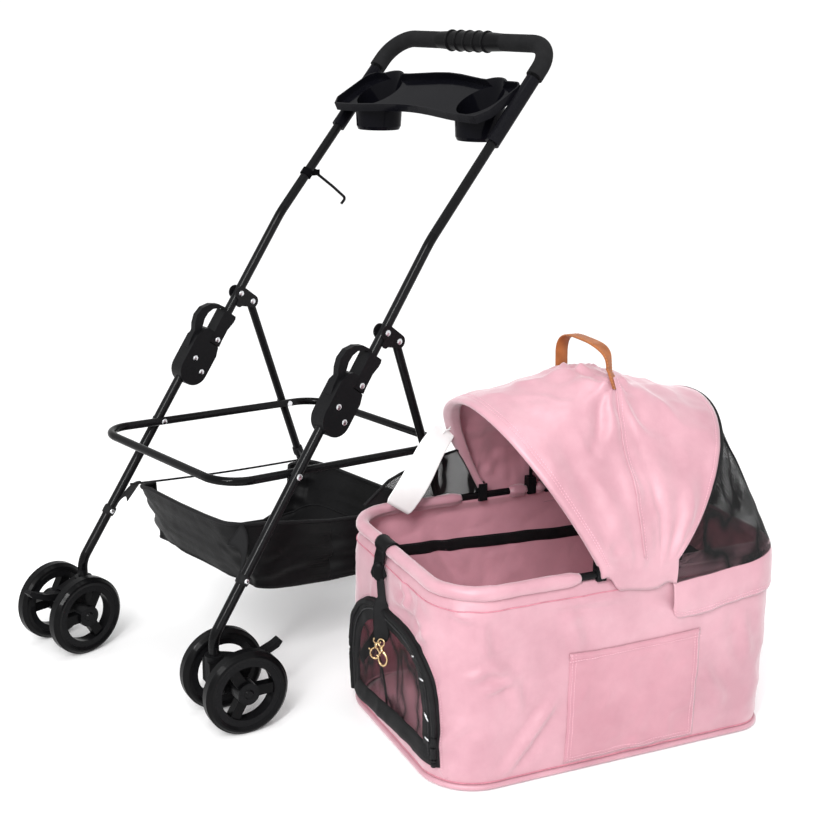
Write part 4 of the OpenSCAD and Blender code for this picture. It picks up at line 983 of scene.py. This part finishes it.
def flap_low(s, s0):
    """Lower edge of the rear flap, rounded at its front corners."""
    near = min(s - s0, ROUND - s0 - s)
    bend = max(0.0, FLAP_ROUND - near)
    corner = FLAP_ROUND - sqrt(FLAP_ROUND ** 2 - bend * bend)
    return FLAP_LOW + corner + 17 * ramp(near, 20, 190) + 2.0 * swirl(s, 0, 0, 80, 4)


def flap_point(s, s0, f):
    """f from 0 at the flap's lower edge to 1 where its top turns over the rim."""
    low = flap_low(s, s0)
    top = flap_top(outline(s)[1]) + 2 * swirl(s, 3, 0, 50, 5)
    if f < FLAP_WALL:
        z = low + (top - low) * f / FLAP_WALL
        out = 5.4 + 3.0 * sin(pi * f / FLAP_WALL) + 2.0 * (1 - ramp(z, 222, 262))
        out += 1.8 * swirl(s, z, 0, 34, 8) + 1.4 * swirl(s, z * 0.3, 0, 13, 2) * (1 - f)
        return carrier(*outline(s, out), z)
    a = (f - FLAP_WALL) / (1 - FLAP_WALL)
    out = 5.2 * (1 - a) - a * (1 + 6 * ramp(top, 280, 292))
    over = 7 * sin(pi * 0.55 * a) if top > 284 else 0
    return carrier(*outline(s, out), top + 2.4 * sin(pi * a * 0.9) + over)


def rear_flap():
    s0 = s_of_side(HINGE_Y[2] - 4)
    rows = grid(21, 200, lambda f, g: flap_point(s0 + (ROUND - 2 * s0) * g, s0, f))
    flap = place(cloth("rear_flap_cloth", rows, pink_cloth, thick=0.8), "cloth_pink", "rear_flap")
    for f in (0.06, 0.13):
        line = [flap_point(s, s0, f) for s in span(s0 + 3, ROUND - s0 - 3, 200)]
        line = [p + (p - carrier(0, 60, p.z * 1000)).normalized() * 0.0006 for p in line]
        laid("flap_stitches_%d" % round(f * 100), line)


rear_flap()

# ---------------------------------------------------------------- webbing, clip and hooks
BAND_START = s_of_side(-236)
band_s = span(BAND_START, ROUND - BAND_START, 160)


def band_z(s):
    y = outline(s)[1]
    return 214 - 14 * ramp(y, -236, 240) + 1.6 * swirl(s, 0, 0, 50)


rows = [[wall_point(s, band_z(s) + h, -3.2 - 0.5 * swirl(s, h, 0, 30)) for s in band_s]
        for h in (-10, -5, 0, 5, 10)]
place(cloth("inner_band", rows, black_tape, thick=1.0, flip=True), "cloth_black", "webbing")
for h, tag in ((-8, "low"), (8, "high")):
    line = [wall_point(s, band_z(s) + h, -4.4) for s in band_s]
    laid("band_stitches_" + tag, line, 5, STITCH, dark_thread, "cloth_black")

FRONT_Y = -CARRIER_L / 2
TETHER_X, TETHER_HALF = -28, 11.5


def front_strap(name, half, path, thick, material):
    """Flat strap across x, along a path of (x, y, z, width, turn in degrees) at the carrier's front."""
    rows = []
    for x, y, z, w, turn in path:
        c, d = (half * w * f(radians(turn)) for f in (cos, sin))
        rows.append([carrier(x + g * c, y + g * d + g * g - 1, z) for g in (-1, -0.8, -0.4, 0, 0.4, 0.8, 1)])
    return cloth(name, rows, material, thick=thick)


def clip():
    """The black side-release clip on the rim and the tether strap that hangs from it."""
    ring = []
    for f in span(0, 1, 12):
        a = radians(-28 + 234 * f)
        ring.append((TETHER_X, FRONT_Y + RIM_INSET - 13.4 * cos(a), RIM_Z + 12.4 * sin(a),
                     1.0 + 0.35 * sin(pi * f), 0))
    outside = [(TETHER_X + 2.2 * j, FRONT_Y - 8.6 - j, 274 - 5.0 * j, w, 8 * j)
               for j, w in enumerate((1.0, 0.8, 0.76, 0.86, 0.9, 0.62))]
    place(front_strap("clip_saddle", 15, outside[::-1] + ring, 2.6, plastic), "plastic_black")
    body = [carrier(TETHER_X + 8 + 0.6 * j, FRONT_Y - 13, 272 - 3.4 * j) for j in range(9)]
    place(tube("clip_body", body, (3.0, 6.5, 8.4, 8.0, 7.2, 7.8, 8.2, 6.0, 2.4), plastic, 16, flat=0.42,
               side_of=lambda i: Vector((0.75, 0.66, 0))), "plastic_black")
    neck = [(TETHER_X + 13 + 0.7 * j, FRONT_Y - 10.5, 250 - 3.4 * j, 0.5, 34 + 2 * j) for j in range(9)]
    drop = [(TETHER_X + 20 + 0.25 * j, FRONT_Y - 12.5, 219 - 5.2 * j,
             min(1.0, 0.66 + 0.17 * j) - 0.4 * ramp(j, 10.5, 12.5), 52) for j in range(13)]
    place(front_strap("tether_strap", TETHER_HALF, neck + drop, 1.8, black_tape), "cloth_black")
    for g, tag in ((-0.8, "a"), (0.8, "b")):
        line = [carrier(x + TETHER_HALF * w * g * 0.616, y + TETHER_HALF * w * g * 0.788 - 1.6, z)
                for x, y, z, w, turn in drop[1:-2]]
        laid("tether_stitches_" + tag, line, 4.6, STITCH, dark_thread, "cloth_black")


clip()


def snap_hook(name, x, z, lean, spin):
    """Swivel eye, collar, hook and its gate, hanging from its eye at x, z."""
    def at(u, v):
        c, s, across = cos(lean), sin(lean), u * cos(spin)
        return carrier(x + across * c - v * s, FRONT_Y - 15 + u * sin(spin), z + across * s + v * c)

    def part(tag, path, radius, sides=10, **more):
        return tube(name + tag, [at(*p) for p in path], radius, brass, sides, **more)

    eye = [(5.4 * sin(a), 5.4 * cos(a) - 5) for a in span(0, 2 * pi, 24)[:-1]]
    collar = [(0, -10.5 - 1.2 * k) for k in range(8)]
    bend = [radians(a) for a in span(60, -210, 18)]
    hook = [(0, -18), (3.5, -19.4)] + [(7.2 * cos(a), -29 + 9.5 * sin(a)) for a in bend]
    return joined(name, [
        part("_eye", eye, 1.25, closed=True),
        part("_collar", collar, (1.8, 3.0, 3.3, 2.3, 2.3, 3.1, 2.9, 1.7), 14),
        part("_hook", hook, lambda i, k: 2.1 - 0.035 * i),
        part("_gate", [(-2.2, -19.6), (-5.4, -22), (-6.8, -26), (-6.9, -30.5)], 1.15, 8),
        part("_thumb", [(-6.6, -24.5), (-9.4, -23.6), (-10.6, -23.8)], (1.0, 1.2, 1.5), 8),
    ])


hooks = [snap_hook("hook_a", -14, 158, -0.3, 0.9), snap_hook("hook_b", -2, 161, 0.25, 0.6)]
place(joined("snap_hook_pair", hooks), "brass", "snap_hooks")

# ---------------------------------------------------------------- leather handle
HANDLE_X = -10
HANDLE_Y = HINGE_Y[1] - BOWS[1][0] * sin_d(3)
HANDLE_Z = BOWS[1][3] + BOWS[1][0]
STRAP_HALF = 10.6
STRAP_SECTION = (  # across in half widths, and up in mm
    (-1, 0), (-0.93, 0.9), (-0.5, 1.5), (0, 1.7), (0.5, 1.5), (0.93, 0.9), (1, 0),
    (0.93, -0.9), (0, -1.2), (-0.93, -0.9),
)


def handle():
    line = [(86, -16), (82, -10), (77.5, -4), (72.2, 3)]
    arch = [radians(6 + 4 * k) for k in range(43)]
    line += [(66.5 * power(cos(a), 0.6), 42 * sin(a) ** 0.6 - 3) for a in arch]
    line += [(-65.5, -6), (-65, -14), (-65, -22), (-65, -30)]
    path = [Vector((HANDLE_X + x, HANDLE_Y, HANDLE_Z + z)) for x, z in line]
    rows, frames = [], []
    for i, p in enumerate(path):
        t = (path[min(i + 1, len(path) - 1)] - path[max(i - 1, 0)]).normalized()
        up = Vector((t.z, 0, -t.x))
        if up.dot(p - Vector((HANDLE_X, HANDLE_Y, HANDLE_Z - 20))) < 0:
            up = -up
        turn = radians(38) * (1 - ramp(i, 6, 19))  # the near leg is twisted
        across = Vector((0, cos(turn), 0)) - up * sin(turn)
        up = up * cos(turn) + Vector((0, sin(turn), 0))
        frames.append((p, across, up))
        half = STRAP_HALF + 0.5 * swirl(i * 5, 0, 0, 30)
        rows.append([carrier(*(p + across * (half * g) + up * h)) for g, h in STRAP_SECTION])
    place(cloth("handle_strap", rows, leather, closed=True), "leather_tan", "carry_handle")
    for g, tag in ((-0.78, "front"), (0.78, "back")):
        line = [carrier(*(p + across * (STRAP_HALF * g) + up * 1.5)) for p, across, up in frames]
        laid("handle_stitches_" + tag, line, 4.4, (3.2, 0.8, 0.7), tan_thread, "leather_tan")


handle()


# ---------------------------------------------------------------- blank tag and its cord
def hang_tag():
    rows = []
    for f in span(0, 1, 26):
        mid = Vector((-113, 415)).lerp(Vector((-192, 297)), f) + Vector((3, 5)) * sin(pi * f)
        half = (20.5 + 4.5 * f) * (1 - 0.14 * (1 - ramp(min(f, 1 - f), 0, 0.05)))
        rows.append([carrier(-151 + 5.0 * g * sin(pi * f) - 4 * sin(2 * pi * f),
                             mid.x + half * g * 0.8, mid.y - half * g * 0.55)
                     for g in (-1, -0.94, -0.6, -0.2, 0.2, 0.6, 0.94, 1)])
    place(cloth("blank_tag", rows, card, thick=0.5), "tag_white", "hang_tag")
    eye = Vector((-150.6, -117, 408))
    top = bow(0, 141) + Vector((0, -4, 0))
    loop = [(eye, top, share, Vector(off)) for share, off in (
        (0, (0, 0, 0)), (0, (2, 3, 7)), (0.6, (1, -1, -2)), (1, (0, 0, 0)), (1, (0, 5, 4)), (1, (-2, 6, -5)),
        (0.5, (-3, 2, -3)), (0, (-1.4, 1, 2)))]
    loop = [a.lerp(b, share) + off for a, b, share, off in loop]
    fine = []
    for a, b in zip(loop, loop[1:]):
        fine += on_carrier(a.lerp(b, k / 4) for k in range(4))
    place(tube("tag_cord", fine, 0.7, white_thread, 6), "tag_white")


hang_tag()


# ---------------------------------------------------------------- cushion
QUILT = 60  # the pad's stitched squares, in mm


def cushion():
    edge = [Vector(outline(s, -9)) for s in span(0, ROUND, 120)]
    rows = [[carrier(*(p * g), 7.6) for p in edge] for g in (0.02, 0.99)]
    for f in span(0, 1, 18)[:-1]:
        top = 9 + 20 * sin(pi / 2 * min(1, f * 3.2)) ** 0.7
        rows.append([])
        for q in (p * (1 - f) for p in edge):
            quilt = abs(sin(q.x * pi / QUILT) * sin(q.y * pi / QUILT))
            up = top + 1.8 * quilt * ramp(f, 0.1, 0.3) + 0.8 * swirl(q.x, q.y, 0, 50)
            rows[-1].append(carrier(q.x, q.y, up))
    place(cloth("cushion_pad", rows, pink_lining_painted_light), "cloth_pink", "cushion")
    line = [carrier(*outline(s, -8.4), 12) for s in span(0, ROUND, 160)[:-1]]
    edge_cord("cushion_piping", line, 1.8, pink_tape, closed=True)


cushion()

# ---------------------------------------------------------------- storage basket
BASKET_HALF, BASKET_FRONT, BASKET_REAR = 149, -304, 59
# heights of the floor and of the rim's two sides, as (y, z)
BASKET_FLOOR = (
    (-306, 200), (-280, 171), (-240, 161), (-200, 153), (-100, 141), (-40, 137), (20, 146), (62, 186),
)
NEAR_EDGE = ((-310, 281), (-250, 274), (-85, 241), (0, 236), (62, 242))
FAR_EDGE = ((-310, 269), (-272, 226), (-225, 180), (-190, 160), (-40, 143), (0, 158), (30, 196), (62, 240))
POLE_RUN = Vector((0, 0.578, 0.816))
LEG_RUN = Vector((0, 0.329, -0.944))
WALL_SHARE = 0.6  # where a basket row reaches the floor's edge
TUBE_X, STRAP_FRONT, STRAP_REAR = 195, (-321.7, 215.7), (71.95, 243.3)  # x of the tubes, y and z of the loops
LOOP_HALF = 7.5  # half the loops' width


def basket_ring(turn, f):
    """A point of the basket: turn round it from the near side, f from 0 at the rim over WALL_SHARE to 1."""
    c, s = cos(turn), sin(turn)
    wall = min(1.0, f / WALL_SHARE)
    hx = BASKET_HALF - 5 * wall * (1 - wall * 0.4)
    mid = (BASKET_FRONT + BASKET_REAR) / 2
    hy = (BASKET_REAR - BASKET_FRONT) / 2 - (40 * ramp(-s, 0.3, 0.9) + 16 * ramp(s, 0.3, 0.9)) * wall
    k = 0.24 + 0.1 * wall
    x, y = hx * power(c, k), mid + hy * power(s, k)
    across = (x / hx + 1) / 2
    top = between(y, FAR_EDGE) * (1 - across) + between(y, NEAR_EDGE) * across
    if abs(x) < hx - 2:
        top = between(y, NEAR_EDGE) - (12 if s < 0 else 0) * ramp(-x / hx, 0.55, 1)
        top -= 5 * ramp(-s, 0.7, 0.95) * (1 - (x / hx) ** 2)
    low = between(y, BASKET_FLOOR) + 3
    if f <= WALL_SHARE:
        z = low + (max(top, low + 4) - low) * (1 - wall) ** 0.95
        out = (4.0 if x > 0 or abs(s) > 0.8 else 1.0) * sin(pi * wall)
        x += out * power(c, 0.5)
        y += out * power(s, 0.5)
    else:
        g = 1 - (f - WALL_SHARE) / (1 - WALL_SHARE)
        x, y = x * g, mid + (y - mid) * g
        z = between(y, BASKET_FLOOR) - 1.5 * (1 - g)
    fold = 3.2 * swirl(x, y, z * 1.6, 52, 2) + 1.6 * swirl(x, y, z * 2.5, 22, 5)
    pleat = sin(z * 0.17 + 2 * swirl(x, y, 0, 60, 3)) * ramp(abs(x), 96, 140)
    fold += 3.4 * pleat * ramp(wall, 0.1, 0.5) * (1 - ramp(wall, 0.8, 1))
    n = Vector((c, s, -0.6 * ramp(f, 0.5, 0.65))).normalized()
    return chassis(x, y, z) + n * (fold * ramp(f, 0.02, 0.18) / 1000)


def squashed(obj, *stands_for):
    """A piece of the basket, put on the chassis with its modifiers made part of its own mesh."""
    applied(place(obj, "cloth_black", *stands_for, body="chassis"))
    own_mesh(obj)
    return obj


def basket():
    turns = span(0, 2 * pi, 168)
    levels = span(0, WALL_SHARE, 24) + span(WALL_SHARE, 0.985, 12)[1:]
    bag = cloth("basket_bag", [[basket_ring(t, f) for t in turns] for f in levels], black_cloth, thick=1.0)
    squashed(bag, "storage_basket")
    rim = [basket_ring(t, 0.0) for t in turns[:-1]]
    rough = lambda i, k: 3.2 + 0.5 * swirl(i * 3, k * 4, 0, 20, 1)
    squashed(tube("basket_rim", rim, rough, black_tape, closed=True))
    far = [chassis(-BASKET_HALF, -306 + 364 * f, 270 - 29 * f - 3 * sin(pi * f)) for f in span(0, 1, 20)]
    squashed(tube("basket_far_cord", far, 1.9, black_tape, 8))
    pipe = [basket_ring(t, 0.585) + Vector((0, 0, -0.001)) for t in turns[:-1]]
    squashed(tube("basket_floor_seam", pipe, 1.7, black_tape, 8, closed=True))


def strap_to(name, corner, hold, axis, radius, wide, via, body):
    """Strap from a basket corner, over the point via, to its loop round a tube of that body."""
    reach = via - hold
    u = (reach - axis * reach.dot(axis)).normalized()
    stop = hold + u * (radius + 1.0) / 1000
    rows = []
    for t in span(0, 1, 16):
        p = corner * (1 - t) ** 2 + via * 2 * t * (1 - t) + stop * t * t
        side = (axis * (1 - t * 0.2) + Vector((0, 0, -0.2 * (1 - t)))).normalized()
        half = side * (wide * (1 - t) ** 2 + LOOP_HALF * (1 - (1 - t) ** 2)) / 1000
        rows.append([p + half * g for g in (-1, -0.6, 0, 0.6, 1)])
    squashed(cloth(name + "_lead", rows, black_tape, thick=1.4))
    w = axis.cross(u)
    ring = []
    for h, grow in ((-LOOP_HALF, 0.5), (-7, 1.5), (-3, 2.0), (0, 2.0), (3, 2.0), (7, 1.5), (LOOP_HALF, 0.5)):
        r = (radius + 0.4 + grow) / 1000
        ring.append([hold + axis * (h / 1000) + (u * cos(a) + w * sin(a)) * r for a in span(0, 2 * pi, 28)])
    place(cloth(name + "_loop", ring, black_tape), "cloth_black", body=body)


def rivet(name, at):
    """Domed rivet head standing out of the +x side of a tube."""
    cap = [at + Vector((h / 1000, 0, 0)) for h in (-1.5, 0.2, 1.2, 1.9, 2.2)]
    dome = tube(name, cap, tuple(4.2 * share for share in (0.96, 1.0, 0.86, 0.52, 0.12)), steel, 18)
    place(dome, "rivet_steel", body="chassis")


basket()
for side, tag, low in ((1, "near", 268), (-1, "far", 258)):
    pole, leg = chassis(side * TUBE_X, *STRAP_FRONT), chassis(side * TUBE_X, *STRAP_REAR)
    strap_to("basket_strap_front_" + tag, chassis(side * 146, -302, low), pole, POLE_RUN, 8, 20,
             chassis(side * 178, -292, 262), "chassis")
    strap_to("basket_strap_rear_" + tag, chassis(side * 147, 55, 232), leg, LEG_RUN, 7, 12,
             chassis(side * 172, 62, 244), "rear_legs")
    rivet("strap_rivet_" + tag, pole + chassis(9.6, 0, 0))


# ---------------------------------------------------------------- mesh over the far rim
def far_cover():
    def point(u, f):
        if f == 1:
            return carrier(*bow(0, 180 - 21 * u, 3))
        low = Vector((-BOW_HALF - 5 * ramp(f, 0.6, 0.8), -236 + 202 * f, RIM_Z + 9 - 12 * ramp(f, 0.7, 0.84)))
        high = Vector((-BOW_HALF, -196, RIM_Z + 44)).lerp(bow(0, 159, 3), f)
        high.z += 6 * sin(pi * f)
        p = low.lerp(high, u)
        folds = 4.0 * swirl(p.y * 1.2, p.z, 0, 30, 5) + 2.6 * swirl(p.y, p.z * 0.4, 0, 9, 2)
        p.x += folds * sin(pi * f) * (0.4 + u)
        return carrier(*p)

    rows = grid(18, 28, point)
    ends = carrier(-BOW_HALF, -190, RIM_Z + 20), carrier(-BOW_HALF, -50, RIM_Z + 40)
    panel = follow_bow(cloth("far_cover", rows, far_net), "mesh_black", *ends)
    edge = [row[0] for row in rows] + rows[-1][1:]
    follow_bow(tube("far_cover_edge", edge, 2.4, black_tape, 8), "cloth_black", *ends)
    strap = [[row[17] + Vector((0.001, w, 0)) for w in (-0.006, 0, 0.006)] for row in rows]
    follow_bow(cloth("far_cover_strap", strap, black_tape, thick=1.0), "cloth_black", *ends)


far_cover()

# ---------------------------------------------------------------- hood seams
def over_hood(start, end, steps, line, out=0.5):
    """A line over the hood from one angle to the other; line gives its v at an angle."""
    return on_carrier(canopy(a, line(a), out) for a in span(start, end, steps))


for tag, start, end in (("near", 2.5, 64.5), ("far", 177.5, 115.5)):
    place(tube("hood_seam_" + tag, over_hood(start, end, 60, seam_v, 0.6), 1.1, pink_cloth, 8), "cloth_pink")
laid("hood_stitches_front_a", over_hood(1, 179, 150, lambda a: 0.045), 4.4, blended=True)
laid("hood_stitches_front_b", over_hood(1, 179, 150, lambda a: 0.075), 4.4, blended=True)
laid("hood_stitches_mid", over_hood(2, 178, 150, lambda a: seam_v(a) + 0.04), 4.4)
laid("hood_stitches_rear", over_hood(2, 178, 150, lambda a: 1.95), 4.4)


# ---------------------------------------------------------------- light and floor
FLOOR_HALF = 40  # metres
corners = [(x * FLOOR_HALF, y * FLOOR_HALF, 0) for x, y in ((-1, -1), (1, -1), (1, 1), (-1, 1))]
floor_mesh = bpy.data.meshes.new("floor")
floor_mesh.from_pydata(corners, [], [(0, 1, 2, 3)])
floor = linked("floor", floor_mesh)
pale = Finish("pale_floor", (0.92, 0.92, 0.92), 0.8, Specular_IOR_Level=0.1,
              Emission_Color=(1, 1, 1, 1), Emission_Strength=0.07)
pale.tint(pale.spread(pale.noise(0.8, 2), 0, 1), (0.915, 0.915, 0.92), (0.925, 0.925, 0.925))
floor.data.materials.append(pale.mat)


def area_light(name, at, aim, along, width, length, watts):
    """Lamp at a point that shines at aim: a disk, or with a length a strip that lies along a direction."""
    lamp = bpy.data.lights.new(name, "AREA")
    lamp.size, lamp.energy = width, watts
    lamp.shape = "RECTANGLE" if length else "DISK"
    if length:
        lamp.size_y = length
    back = (Vector(at) - Vector(aim)).normalized()
    up = (Vector(along) - back * Vector(along).dot(back)).normalized()
    turned = Matrix((up.cross(back), up, back)).transposed().to_4x4()
    linked(name, lamp).matrix_world = Matrix.Translation(at) @ turned


area_light("key", (1.55, -1.75, 1.95), (0.1, -0.1, 0.5), (0, 0.578, 0.816), 0.16, 1.5, 34)
area_light("top", (0.3, 0.2, 2.8), (0.3, 0.0, 0.3), (0, 0, 1), 1.6, None, 12)
sun = bpy.data.lights.new("window", "SUN")
sun.energy, sun.angle = 1.15, radians(24)
linked("window", sun).rotation_euler = Vector((0.45, -0.70, 0.62)).to_track_quat("Z", "Y").to_euler()
world = bpy.data.worlds.new("studio")
world.use_nodes = True
sky = world.node_tree
back = sky.nodes["Background"]
back.inputs["Color"].default_value = (1, 1, 1, 1)
way, parts, fade = (sky.nodes.new("ShaderNode" + kind) for kind in ("TexCoord", "SeparateXYZ", "MapRange"))
for key, v in (("From Min", 0.12), ("From Max", 0.7), ("To Min", 1.06), ("To Max", 0.86)):
    fade.inputs[key].default_value = v
sky.links.new(way.outputs["Generated"], parts.inputs["Vector"])
sky.links.new(parts.outputs["Z"], fade.inputs["Value"])
sky.links.new(fade.outputs["Result"], back.inputs["Strength"])
bpy.context.scene.world = world
bpy.context.scene.view_settings.view_transform = "Standard"
